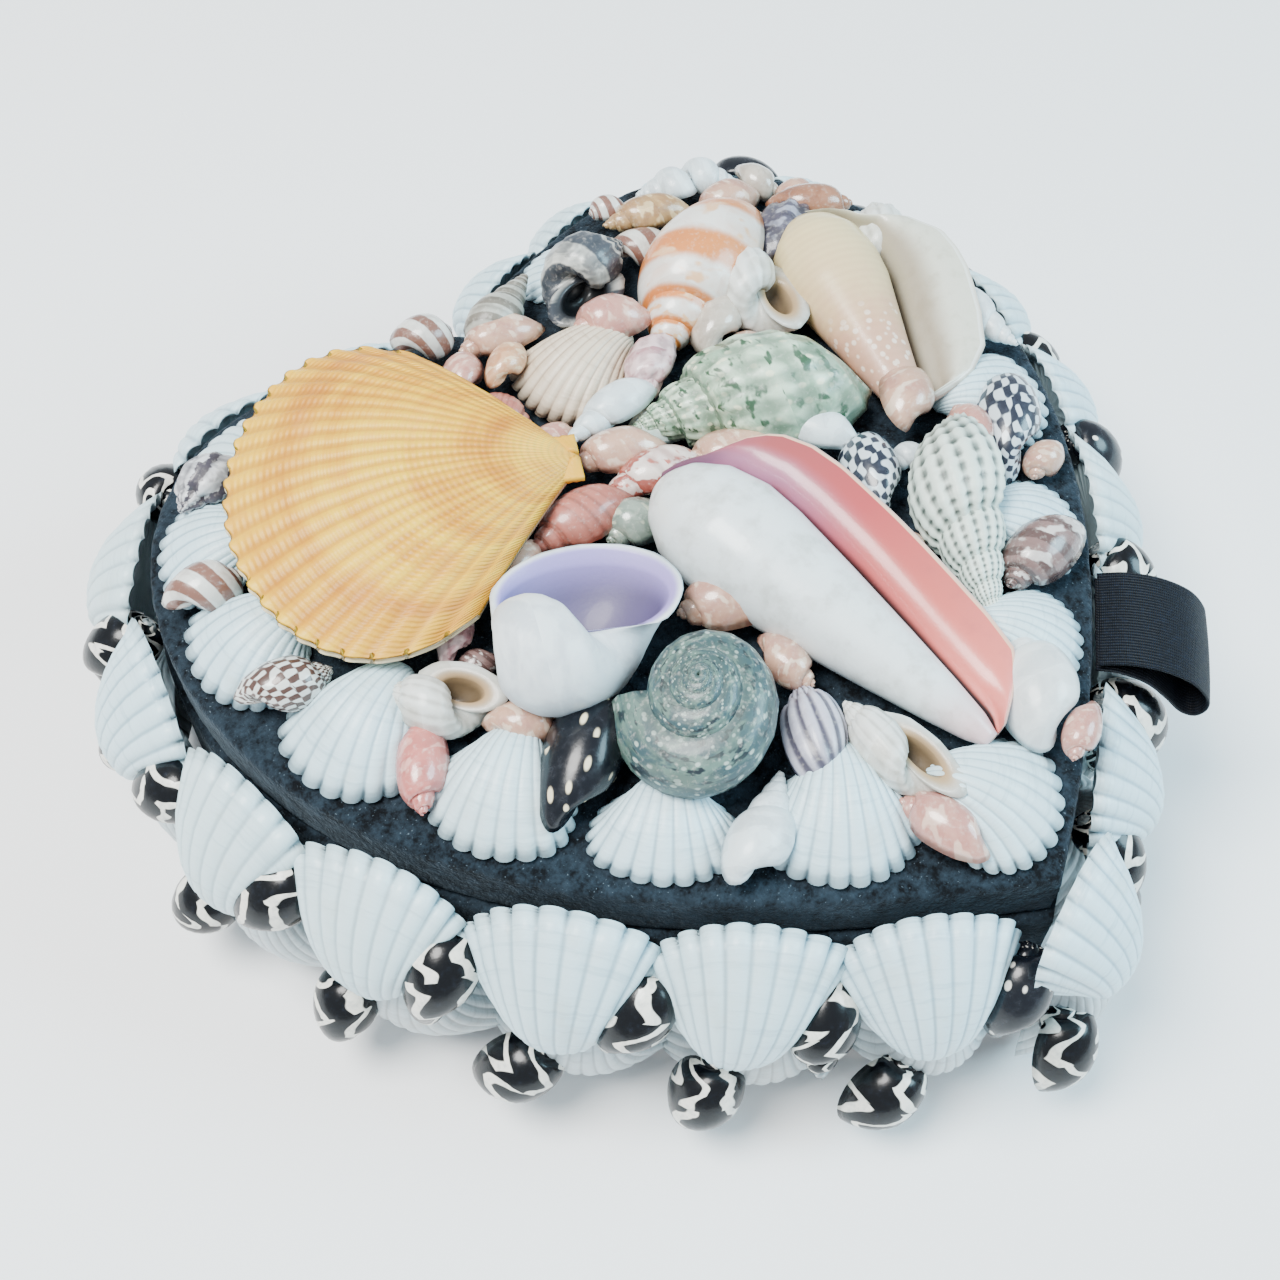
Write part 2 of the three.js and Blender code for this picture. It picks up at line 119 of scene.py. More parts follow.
def outward(s, span=6.0):
    d = along(s + span) - along(s - span)
    d /= np.linalg.norm(d)
    return np.array([d[1], -d[0]])


def offset_half(o):
    h = HALF
    a, b = h[np.maximum(np.arange(len(h)) - 1, 0)], h[np.minimum(np.arange(len(h)) + 1, len(h) - 1)]
    t = (b - a) / np.linalg.norm(b - a, axis=1)[:, None]
    out = h + o * np.stack([t[:, 1], -t[:, 0]], 1)
    first = next(i for i in range(len(out)) if out[i, 0] > 0.05)
    last = next(i for i in range(len(out) - 1, 0, -1) if out[i, 0] > 0.05)

    def meet(p, q):
        return np.array([0.0, p[1] + (q[1] - p[1]) * (0 - p[0]) / (q[0] - p[0])])

    notch = np.array([0.0, NOTCH_Y + o * 1.3]) if o < 0 else meet(out[last], out[last - 1])
    return np.vstack([meet(out[first], out[first + 1]), out[first:last + 1], notch])


def ring(o, n):
    line = offset_half(o)
    d = np.concatenate([[0], np.cumsum(np.linalg.norm(np.diff(line, axis=0), axis=1))])
    s = np.linspace(0, d[-1], n // 2 + 1)
    half = np.stack([np.interp(s, d, line[:, 0]), np.interp(s, d, line[:, 1])], 1)
    return np.vstack([half, half[1:-1][::-1] * [-1, 1]])


EDGE_TOP = ring(-0.9, 360)
DOME_T, DOME_Z = [0, 0.42, 0.82, 1, 9], [2.0, 1.88, 1.1, 0, 0]


def lid_z(x, y):
    """Height of the lid's top face."""
    ang = math.atan2(y - CY, x - CX)
    a = np.arctan2(EDGE_TOP[:, 1] - CY, EDGE_TOP[:, 0] - CX)
    r = np.hypot(EDGE_TOP[:, 1] - CY, EDGE_TOP[:, 0] - CX)
    i = int(np.argmin(np.abs((a - ang + math.pi) % TAU - math.pi)))
    return LID_TOP + float(np.interp(math.hypot(x - CX, y - CY) / r[i], DOME_T, DOME_Z))


# ------------------------------------------------------------------ mesh building
class Skin:
    """Collects closed grids of points, with their pattern coordinates, into one mesh."""

    def __init__(self):
        self.v, self.idx, self.tot, self.mat, self.n = [], [], [], [], 0
        self.layers = {"grow": [], "marks": [], "tint": []}

    def grid(self, P, grow, marks, tint=(0.5, 0.5), wrap=True, caps=True, mat=0):
        """P is rows x columns x 3. grow and marks are rows x columns(+1 if wrapped) x 2."""
        R, N = P.shape[:2]
        idx = np.arange(R * N).reshape(R, N)
        c0 = np.arange(N if wrap else N - 1)
        c1, k1 = (c0 + 1) % N, c0 + 1
        quads = np.stack([idx[:-1][:, c0], idx[:-1][:, c1], idx[1:][:, c1], idx[1:][:, c0]], -1).reshape(-1, 4)

        def corner(A):
            return np.stack([A[:-1][:, c0], A[:-1][:, k1], A[1:][:, k1], A[1:][:, c0]], 2).reshape(-1, 4, 2)

        V = [P.reshape(-1, 3)]
        G, M = [corner(grow)], [corner(marks)]
        tris, TG, TM = [], [], []
        if caps:
            for r, at in ((0, R * N), (R - 1, R * N + 1)):
                V.append(P[r].mean(0)[None])
                t = np.stack([np.full(len(c0), at), idx[r][c1], idx[r][c0]], -1)
                if r:
                    t = t[:, [0, 2, 1]]
                tris.append(t)
                for A, out in ((grow, TG), (marks, TM)):
                    mid = np.repeat(A[r].mean(0)[None], len(c0), 0)
                    pair = [A[r][k1], A[r][c0]] if not r else [A[r][c0], A[r][k1]]
                    out.append(np.stack([mid, *pair], 1))
        V = np.vstack(V)
        tris = np.vstack(tris) if tris else np.zeros((0, 3), int)
        fan = np.vstack([quads[:, [0, 1, 2]], quads[:, [0, 2, 3]], tris])
        a, b, c = V[fan[:, 0]], V[fan[:, 1]], V[fan[:, 2]]
        flip = np.einsum("ij,ij->i", a, np.cross(b, c)).sum() < 0
        parts = [(quads, corner(grow), corner(marks))]
        if len(tris):
            parts.append((tris, np.vstack(TG), np.vstack(TM)))
        for f, g, m in parts:
            if flip:
                f, g, m = f[:, ::-1], g[:, ::-1], m[:, ::-1]
            self.idx.append((f + self.n).ravel())
            self.tot.append(np.full(len(f), f.shape[1]))
            self.mat.append(np.full(len(f), mat))
            self.layers["grow"].append(g.reshape(-1, 2))
            self.layers["marks"].append(m.reshape(-1, 2))
            self.layers["tint"].append(np.tile(np.asarray(tint, float), (f.size, 1)))
        self.v.append(V)
        self.n += len(V)

    def build(self, name, materials, node=None, slot=None):
        V = np.vstack(self.v) * MM
        idx, tot = np.concatenate(self.idx), np.concatenate(self.tot)
        me = bpy.data.meshes.new(name)
        me.vertices.add(len(V))
        me.vertices.foreach_set("co", V.ravel())
        me.loops.add(len(idx))
        me.loops.foreach_set("vertex_index", idx)
        me.polygons.add(len(tot))
        me.polygons.foreach_set("loop_start", np.concatenate([[0], np.cumsum(tot)[:-1]]))
        me.polygons.foreach_set("loop_total", tot)
        me.polygons.foreach_set("material_index", np.concatenate(self.mat))
        me.polygons.foreach_set("use_smooth", np.ones(len(tot), bool))
        for key, vals in self.layers.items():
            layer = me.uv_layers.new(name=key)
            layer.data.foreach_set("uv", np.vstack(vals).ravel())
        me.update(calc_edges=True)
        me.validate()
        for m in materials if isinstance(materials, (list, tuple)) else [materials]:
            me.materials.append(m)
        o = bpy.data.objects.new(name, me)
        bpy.context.scene.collection.objects.link(o)
        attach(o, "root")
        if node:
            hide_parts(*([node] if isinstance(node, str) else node))
        return o


def frame_of(ey, ez):
    """Rows are the world directions of a shell's own x, y and z."""
    y = unit(ey)
    z = np.asarray(ez, float)
    z = unit(z - y * (z @ y))
    return np.array([np.cross(y, z), y, z])


def normals(P, wrap=True):
    if wrap:
        dv = np.roll(P, -1, 1) - np.roll(P, 1, 1)
    else:
        dv = np.gradient(P, axis=1)
    du = np.gradient(P, axis=0)
    n = np.cross(dv, du)
    return n / (np.linalg.norm(n, axis=2)[..., None] + 1e-9)


def close(A):
    return np.concatenate([A, A[:, :1]], 1)


# ------------------------------------------------------------------ bivalves
def cockle_points(w, h, k=0.70, ribs=20, rows=17, per=7, end=2.5, corner=0.07, rib=0.30, teeth=0.5, seed=0, flatten=1.0):
    """One valve: the rim oval lies in z = 0 from the hinge (y = 0) to y = reach, and earlier rims are
    the same oval, smaller and turned up about the hinge line."""
    rng = np.random.default_rng(seed)
    overhang = 0.72 * math.exp(-k * 2.35)
    reach = h / (1 + overhang)
    phi0 = 0.42
    hinge = 8
    ph = np.concatenate([np.linspace(-phi0, phi0, hinge, endpoint=False),
                         np.linspace(phi0, TAU - phi0, ribs * per, endpoint=False)])
    rv = np.concatenate([np.zeros(hinge), np.linspace(0, ribs, ribs * per, endpoint=False)])
    kk = (1 - np.cos(ph)) / 2
    x = np.sin(ph) * w / 2 * (0.90 + 0.16 * kk)
    y = reach * (0.03 + 0.97 * kk)
    # one end of the margin is cut off straighter than the other, with a blunt corner
    psi = np.arctan2((y - reach * 0.5) / reach, x / w)
    bump = 1 + corner * np.exp(-((psi - 0.62) / 0.34) ** 2) - corner * 0.55 * np.exp(-((psi - 2.5) / 0.5) ** 2)
    x, y = x * bump, reach * 0.5 + (y - reach * 0.5) * bump
    x *= w / (x.max() - x.min())
    y = np.maximum(y, 0.02 * reach)
    f = rv % 1.0
    crest = np.where(rv > 0, 1 - np.abs(2 * f - 1) ** 2.4, 0.35)
    crest[:hinge] = 0.5
    side = np.clip(np.minimum(rv, ribs - rv) / 2.5, 0, 1)
    beta = np.linspace(0, 1, rows) ** 1.06 * end
    e = np.exp(-k * beta)[:, None]
    P = np.stack([x * e, y * e * np.cos(beta)[:, None], y * e * np.sin(beta)[:, None] * flatten], -1)
    nrm = normals(P)
    mid = np.array([0, reach * 0.45, 2.0])
    if np.einsum("ijk,ijk->", nrm, P - mid) < 0:
        nrm = -nrm
    wob = np.sin(beta * 9 + rng.uniform(0, 6))[:, None] * 0.05 + np.sin(beta * 23 + rng.uniform(0, 6))[:, None] * 0.035
    amp = rib * w / 25 * e ** 0.8 * (0.25 + 0.75 * side)
    P = P + nrm * (amp * (crest - 0.35) + wob * e)[..., None]
    # the margin's teeth: each rib runs a little past the rim
    tooth = teeth * w / 25 * (crest - 0.4) * side
    out = np.stack([x, y - reach * 0.45], -1)
    out /= np.linalg.norm(out, axis=1)[:, None]
    P[0, :, :2] += out * tooth[:, None]
    P[1, :, :2] += out * tooth[:, None] * 0.35
    inner = P[0].copy()
    cen = np.array([0, reach * 0.45, 0])
    r1 = cen + (inner - cen) * [0.955, 0.955, 1]
    r2 = cen + (P[1] - cen) * [0.90, 0.90, 0.85]
    P = np.concatenate([r2[None], r1[None], P], 0)
    g = np.concatenate([[1.02, 1.0], e[:, 0]])
    cols = np.concatenate([rv, [ribs]])
    grow = np.stack([np.repeat((g * reach)[:, None], len(cols), 1), np.repeat(cols[None], len(g), 0)], -1)
    # groove depth, which the materials use to paint shade into the grooves
    gm = np.concatenate([1 - crest, [1 - crest[0]]])
    inn = np.zeros(len(g)); inn[:2] = 1
    marks = np.stack([np.repeat(gm[None], len(g), 0), np.repeat(inn[:, None], len(cols), 1)], -1)
    return P, grow, marks, reach


def add_cockle(skin, origin, ey, ez, tint, **kw):
    P, g, m, reach = cockle_points(**kw)
    skin.grid(np.asarray(origin) + P @ frame_of(ey, ez), g, m, tint)
    return reach


def reach_of(h, k):
    return h / (1 + 0.72 * math.exp(-k * 2.35))


def scallop_points(R, half=0.86, H=8.0, ribs=24, per=9, rows=46, thick=1.1):
    """A fan valve: rays leave the umbo at the origin, the margin is at r = 1."""
    n = ribs * per + 1
    al = np.linspace(-half, half, n)
    q = np.abs(al) / half
    rho = R * (1 - 0.17 * q**2 - 0.24 * q**7)
    rv = np.linspace(0, ribs, n)
    f = rv % 1.0
    crest = 0.5 - 0.5 * np.cos(TAU * f)
    crest = np.sign(crest - 0.5) * np.abs(2 * crest - 1) ** 0.7 / 2 + 0.5
    r = np.concatenate([np.linspace(0.012, 0.93, rows - 8), np.linspace(0.945, 1.0, 8)])[:, None]
    dome = (1 - r**2.3) * (r**0.62) * 1.75
    lat = 1 - 0.78 * q**3.2
    z = H * dome * lat
    edge = 0.5 * r * (crest - 0.5)
    rr = r * rho * (1 + np.where(r > 0.985, 0.012, 0) * (crest - 0.3))
    top = np.stack([rr * np.sin(al), rr * np.cos(al), z + edge + np.zeros_like(rr)], -1)
    rings = 0.10 * np.sin(r * 26) * r + 0.06 * np.sin(r * 61 + 1) * r
    top[..., 2] += rings
    low = np.stack([rr * np.sin(al), rr * np.cos(al), z * 0.985 + edge - thick + np.zeros_like(rr)], -1)
    # one wrapped loop of columns: along the top, then back along the underside
    P = np.concatenate([top, low[:, ::-1]], 1)
    g0 = np.stack([np.repeat(r, n, 1), np.repeat(rv[None], len(r), 0)], -1)
    # groove depth, which the material uses to paint shade into the grooves
    m0 = np.stack([np.repeat((1 - crest)[None], len(r), 0), np.zeros((len(r), n))], -1)
    m1 = m0.copy(); m1[..., 1] = 1
    g = close(np.concatenate([g0, g0[:, ::-1]], 1))
    m = close(np.concatenate([m0, m1[:, ::-1]], 1))
    return P, g, m


# ------------------------------------------------------------------ coiled shells
def snail_points(turns=4.0, W=1.9, R0=1.0, a=0.98, b=1.1, T=2.6, step=26, N=26, ribs=0, rib=0.0, rib_pow=1.0,
                 cords=0, cord=0.0, beads=0, bead=0.0, canal=0.0, shoulder=0.0, lip=0.0, flare=0.0, wall=0.14,
                 depth=0.32, seed=0, keel=0.0, rough=0.0):
    """Right-handed coil: the apex is at the top (z = 0), the mouth at the end of the last whorl, opening
    towards -y with its section on +x. Returned in whorl units, to be scaled by fit()."""
    rng = np.random.default_rng(seed)
    rows = int(turns * step) + 1
    t = np.linspace(-turns, 0, rows)
    ph = np.linspace(0, TAU, N, endpoint=False)
    c, s = np.cos(ph), np.sin(ph)
    low = np.clip(-s, 0, 1)
    cr = c * (1 - canal * 0.45 * low**2) + shoulder * 0.22 * np.exp(-((ph - 0.95) / 0.42) ** 2)
    ds = s - canal * low**2.2
    if keel:
        cr = cr + keel * 0.22 * np.exp(-(((ph + math.pi) % TAU - math.pi) / 0.28) ** 2)

    def section(tt, k=1.0, extra=0.0):
        sc = W**tt
        ang = -TAU * tt
        rad = sc * (R0 + a * k * cr * (1 + extra))
        ax = sc * (-T + b * k * ds * (1 + extra))
        rad = np.maximum(rad, 0.02 * sc)
        return np.stack([rad * math.cos(ang), rad * math.sin(ang), ax], -1)

    out, gl, mk = [], [], []
    outer = np.clip((c + 0.55) / 0.5, 0, 1)
    vph = rng.uniform(0, 6)
    for tt in t:
        d = np.zeros(N)
        if ribs:
            wv = 0.5 + 0.5 * math.cos(TAU * ribs * tt + vph)
            d = d + rib * wv**rib_pow * outer * (1 - 0.65 * low)
        if cords:
            d = d + cord * (0.5 + 0.5 * np.cos(cords * ph)) * outer
        if beads:
            wv = (0.5 + 0.5 * math.cos(TAU * beads * tt)) ** 1.5
            d = d + bead * wv * (np.exp(-((ph - 0.75) / 0.30) ** 2) + 0.7 * np.exp(-((ph - 0.05) / 0.26) ** 2)
                                 + 0.6 * np.exp(-((ph - TAU + 0.62) / 0.26) ** 2) + 0.6 * np.exp(-((ph - TAU) / 0.26) ** 2))
        if rough:
            d = d + rough * np.array([noise.noise(Vector((math.cos(p) * 2.2, math.sin(p) * 2.2, tt * 7 + seed))) for p in ph])
        lipg = lip * math.exp(-((tt + 0.012) / 0.03) ** 2) + flare * math.exp(tt * 9)
        out.append(section(tt, 1.0, d + lipg * (0.35 + 0.65 * outer)))
        gl.append(np.stack([np.full(N + 1, tt), np.linspace(0, 1, N + 1)], -1))
        dd = np.concatenate([d, d[:1]])
        # relief height, which the materials use to paint shade on the low ground
        mk.append(np.stack([dd / (abs(rib) + abs(cord) + abs(bead) + 1e-6), np.zeros(N + 1)], -1))
    end = lip + flare
    inner_t = [0.0, -0.004, -0.03, -0.08, -0.15, -0.23, -depth]
    inner_k = [1 - wall * 0.45, 1 - wall, 1 - wall * 1.1, 1 - wall * 1.25, 1 - wall * 1.5, 1 - wall * 1.9, 1 - wall * 2.6]
    for i, (tt, kq) in enumerate(zip(inner_t, inner_k)):
        out.append(section(tt, kq, end * (1 - i / 5) * 0.9 if i < 5 else 0.0))
        gl.append(np.stack([np.full(N + 1, tt), np.linspace(0, 1, N + 1)], -1))
        # depth into the mouth, which the materials use for the mouth colour and its painted shade
        mk.append(np.stack([np.zeros(N + 1), np.full(N + 1, min(1.0, 0.35 + 0.25 * i))], -1))
    return np.array(out), np.array(gl), np.array(mk)


def fit(P, length, width, deep=None):
    """Scales a coil to its length along the axis and its breadths across it; the apex goes to z = 0."""
    lo, hi = P.reshape(-1, 3).min(0), P.reshape(-1, 3).max(0)
    P = P - [(lo[0] + hi[0]) / 2, (lo[1] + hi[1]) / 2, hi[2]]
    size = hi - lo
    return P * [width / size[0], (deep or width) / size[1], length / size[2]]


def lay(P, apex, base, face=(0, 0, 1), roll=0.0):
    """Puts a fitted coil with its axis from apex to base, and its mouth side turned to face, then rolled."""
    apex, base = np.asarray(apex, float), np.asarray(base, float)
    z = unit(apex - base)
    f = np.asarray(face, float)
    f = unit(f - z * (f @ z))
    y = -f
    x = np.cross(y, z)
    r = math.radians(roll)
    x, y = x * math.cos(r) + y * math.sin(r), y * math.cos(r) - x * math.sin(r)
    return apex + P @ np.array([x, y, z])


# ------------------------------------------------------------------ materials
class Nodes:
    def __init__(self, name):
        self.m = bpy.data.materials.new(name)
        self.m.use_nodes = True
        self.t = self.m.node_tree
        self.t.nodes.clear()
        self.out = self.t.nodes.new("ShaderNodeOutputMaterial")
        self.b = self.t.nodes.new("ShaderNodeBsdfPrincipled")
        self.t.links.new(self.b.outputs[0], self.out.inputs[0])
        self.cache = {}

    def put(self, sock, val):
        if isinstance(val, bpy.types.NodeSocket):
            self.t.links.new(val, sock)
        elif val is not None:
            if isinstance(val, (tuple, list)) and len(val) == 3 and sock.type == "RGBA":
                val = (*val, 1.0)
            sock.default_value = val

    def uv(self, layer):
        if layer not in self.cache:
            u = self.t.nodes.new("ShaderNodeUVMap")
            u.uv_map = layer
            s = self.t.nodes.new("ShaderNodeSeparateXYZ")
            self.put(s.inputs[0], u.outputs[0])
            self.cache[layer] = (s.outputs[0], s.outputs[1], u.outputs[0])
        return self.cache[layer]

    def obj(self):
        if "obj" not in self.cache:
            self.cache["obj"] = self.t.nodes.new("ShaderNodeTexCoord").outputs["Object"]
        return self.cache["obj"]

    def math(self, op, a, b=None, c=None, clamp=False):
        n = self.t.nodes.new("ShaderNodeMath")
        n.operation, n.use_clamp = op, clamp
        for i, v in enumerate((a, b, c)):
            if v is not None:
                self.put(n.inputs[i], v)
        return n.outputs[0]

    def vec(self, x, y, z=0.0):
        n = self.t.nodes.new("ShaderNodeCombineXYZ")
        for i, v in enumerate((x, y, z)):
            self.put(n.inputs[i], v)
        return n.outputs[0]

    def noise(self, scale, detail=3.0, rough=0.55, vector=None, distort=0.0, color=False):
        n = self.t.nodes.new("ShaderNodeTexNoise")
        self.put(n.inputs["Vector"], vector if vector is not None else self.obj())
        n.inputs["Scale"].default_value = scale
        n.inputs["Detail"].default_value = detail
        n.inputs["Roughness"].default_value = rough
        n.inputs["Distortion"].default_value = distort
        return n.outputs["Color" if color else "Fac"]

    def voronoi(self, scale, vector=None, feature="F1", random=1.0):
        n = self.t.nodes.new("ShaderNodeTexVoronoi")
        n.feature = feature
        self.put(n.inputs["Vector"], vector if vector is not None else self.obj())
        n.inputs["Scale"].default_value = scale
        n.inputs["Randomness"].default_value = random
        return n.outputs["Distance"]

    def ramp(self, fac, stops, mode="LINEAR"):
        n = self.t.nodes.new("ShaderNodeValToRGB")
        n.color_ramp.interpolation = mode
        while len(n.color_ramp.elements) < len(stops):
            n.color_ramp.elements.new(0.5)
        for e, (p, col) in zip(n.color_ramp.elements, stops):
            e.position = p
            e.color = (*col, 1.0) if not isinstance(col, (int, float)) else (col, col, col, 1.0)
        self.put(n.inputs[0], fac)
        return n.outputs[0]

    def step(self, x, lo, hi):
        n = self.t.nodes.new("ShaderNodeMapRange")
        n.interpolation_type = "SMOOTHSTEP"
        self.put(n.inputs["Value"], x)
        n.inputs["From Min"].default_value, n.inputs["From Max"].default_value = lo, hi
        return n.outputs[0]

    def mix(self, fac, a, b, mode="MIX"):
        n = self.t.nodes.new("ShaderNodeMix")
        n.data_type, n.blend_type = "RGBA", mode
        self.put(n.inputs[0], fac)
        self.put(n.inputs[6], a)
        self.put(n.inputs[7], b)
        return n.outputs[2]

    def bump(self, height, distance=0.0002, strength=0.6, normal=None):
        n = self.t.nodes.new("ShaderNodeBump")
        n.inputs["Strength"].default_value = strength
        n.inputs["Distance"].default_value = distance
        self.put(n.inputs["Height"], height)
        if normal is not None:
            self.put(n.inputs["Normal"], normal)
        return n.outputs[0]

    def finish(self, color, rough, normal=None, **fixed):
        self.put(self.b.inputs["Base Color"], color)
        self.put(self.b.inputs["Roughness"], rough)
        if normal is not None:
            self.put(self.b.inputs["Normal"], normal)
        for key, val in fixed.items():
            sock = self.b.inputs[key.replace("_", " ")]
            sock.default_value = (*val, 1.0) if isinstance(val, tuple) else val
        return self.m


def hexc(h):
    c = [int(h[i:i + 2], 16) / 255 for i in (0, 2, 4)]
    return tuple(v / 12.92 if v <= 0.04045 else ((v + 0.055) / 1.055) ** 2.4 for v in c)


def mat_velvet(name, dark, nap, lint):
    n = Nodes(name)
    clump = n.noise(420, 4, 0.6)
    fuzz = n.noise(1500, 3, 0.65)
    patch = n.noise(60, 2, 0.5)
    f = n.math("ADD", n.math("MULTIPLY", clump, 0.9), n.math("MULTIPLY", fuzz, 0.55))
    f = n.math("ADD", f, n.math("MULTIPLY", patch, 0.35))
    f = n.math("MULTIPLY", f, 0.8)
    col = n.ramp(f, [(0.60, dark), (0.72, tuple((a + b) / 2 for a, b in zip(dark, nap))), (0.88, nap)])
    specks = n.step(n.noise(2600, 1, 0.5), 0.70, 0.78)
    col = n.mix(n.math("MULTIPLY", specks, 0.45), col, lint)
    h = n.math("ADD", clump, n.math("MULTIPLY", fuzz, 0.7))
    return n.finish(col, 0.95, n.bump(h, 0.0005, 0.9), Sheen_Weight=0.22, Sheen_Roughness=0.4,
                    Sheen_Tint=(0.38, 0.50, 0.60), Specular_IOR_Level=0.15)


def mat_ribbed(name, crest, groove_shade, dirt_and_shade, rough=0.42, coat=0.12, warm=None):
    """Chalky ribbed valve: colour follows the ribs, the growth lines and a little staining, and the grooves between the
    ribs get painted shade.
    """
    n = Nodes(name)
    u, v, _ = n.uv("grow")
    g, inn, _ = n.uv("marks")
    r, r2, _ = n.uv("tint")
    lines = n.noise(1.0, 3, 0.6, n.vec(n.math("MULTIPLY", u, 2.2), n.math("MULTIPLY", v, 0.25), r))
    stain = n.noise(160, 4, 0.6)
    fine = n.noise(1800, 2, 0.5)
    # painted shade: the grooves between the ribs are mixed towards the darker groove colour
    col = n.mix(n.math("MULTIPLY", n.step(g, 0.35, 0.98), 0.62), crest, groove_shade)
    # the growth lines are darkened with the same colour
    col = n.mix(n.math("MULTIPLY", n.step(lines, 0.5, 0.72), 0.30), col, groove_shade)
    # staining, then a random tint per shell; in the lower row's copy both colours are grey-brown painted shade
    col = n.mix(n.math("MULTIPLY", n.step(stain, 0.52, 0.78), 0.34), col, dirt_and_shade)
    col = n.mix(n.math("MULTIPLY", r, 0.35), col, warm or dirt_and_shade)
    h = n.math("ADD", n.math("MULTIPLY", lines, 0.7), n.math("MULTIPLY", fine, 0.35))
    ro = n.math("ADD", rough - 0.08, n.math("MULTIPLY", stain, 0.2))
    return n.finish(col, ro, n.bump(h, 0.00022, 0.6), Coat_Weight=coat, Coat_Roughness=0.25,
                    Subsurface_Weight=0.0)


def mat_zebra(name):
    n = Nodes(name)
    u, v, _ = n.uv("grow")
    g, inn, _ = n.uv("marks")
    r, r2, _ = n.uv("tint")
    # a few bold cream lines run from the spire to the base in zigzags and hooks
    zig = n.math("PINGPONG", n.math("ADD", n.math("MULTIPLY", v, 4.0), n.math("MULTIPLY", r, 7.0)), 0.5)
    wob = n.noise(2.0, 1, 0.4, n.vec(u, n.math("MULTIPLY", v, 3.0), n.math("MULTIPLY", r, 30.0)))
    q = n.math("ADD", n.math("MULTIPLY", u, 5.0), n.math("MULTIPLY", zig, 1.3))
    q = n.math("ADD", q, n.math("MULTIPLY", wob, 2.2))
    q = n.math("ABSOLUTE", n.math("SUBTRACT", n.math("FRACT", q), 0.5))
    thick = n.math("ADD", 0.06, n.math("MULTIPLY", n.noise(2.2, 1, 0.4, n.vec(u, v, n.math("MULTIPLY", r2, 20.0))), 0.16))
    line = n.step(n.math("SUBTRACT", q, thick), 0.02, -0.02)
    grain = n.noise(900, 3, 0.6)
    black = n.mix(n.step(grain, 0.5, 0.8), hexc("06080C"), hexc("141922"))
    col = n.mix(line, black, n.mix(n.step(grain, 0.4, 0.75), hexc("EAE9DF"), hexc("C9CBC4")))
    apex = n.step(u, -1.45, -1.75)
    col = n.mix(n.math("MULTIPLY", apex, 0.8), col, hexc("8B9AA0"))
    col = n.mix(n.step(inn, 0.3, 0.6), col, hexc("C9CFCC"))
    return n.finish(col, n.math("ADD", 0.16, n.math("MULTIPLY", grain, 0.16)), n.bump(grain, 0.0001, 0.4),
                    Coat_Weight=0.12, Coat_Roughness=0.08, Specular_IOR_Level=0.32)


def mat_dots(name, base, dot, ratio=(26.0, 9.0), size=0.24):
    n = Nodes(name)
    u, v, _ = n.uv("grow")
    g, inn, _ = n.uv("marks")
    r, r2, _ = n.uv("tint")
    d = n.voronoi(1.0, n.vec(n.math("MULTIPLY", u, ratio[0] * 0.5), n.math("MULTIPLY", v, ratio[1]), n.math("MULTIPLY", r, 9.0)), random=0.55)
    grain = n.noise(700, 3, 0.6)
    dots = n.step(d, size, size - 0.08)
    col = n.mix(dots, n.mix(n.step(grain, 0.45, 0.8), base, tuple(min(1, c * 1.9 + 0.01) for c in base)), dot)
    col = n.mix(n.step(inn, 0.3, 0.6), col, hexc("B9C0BE"))
    return n.finish(col, n.math("ADD", 0.18, n.math("MULTIPLY", grain, 0.15)), n.bump(grain, 0.0001, 0.4),
                    Coat_Weight=0.15, Coat_Roughness=0.1, Specular_IOR_Level=0.35)


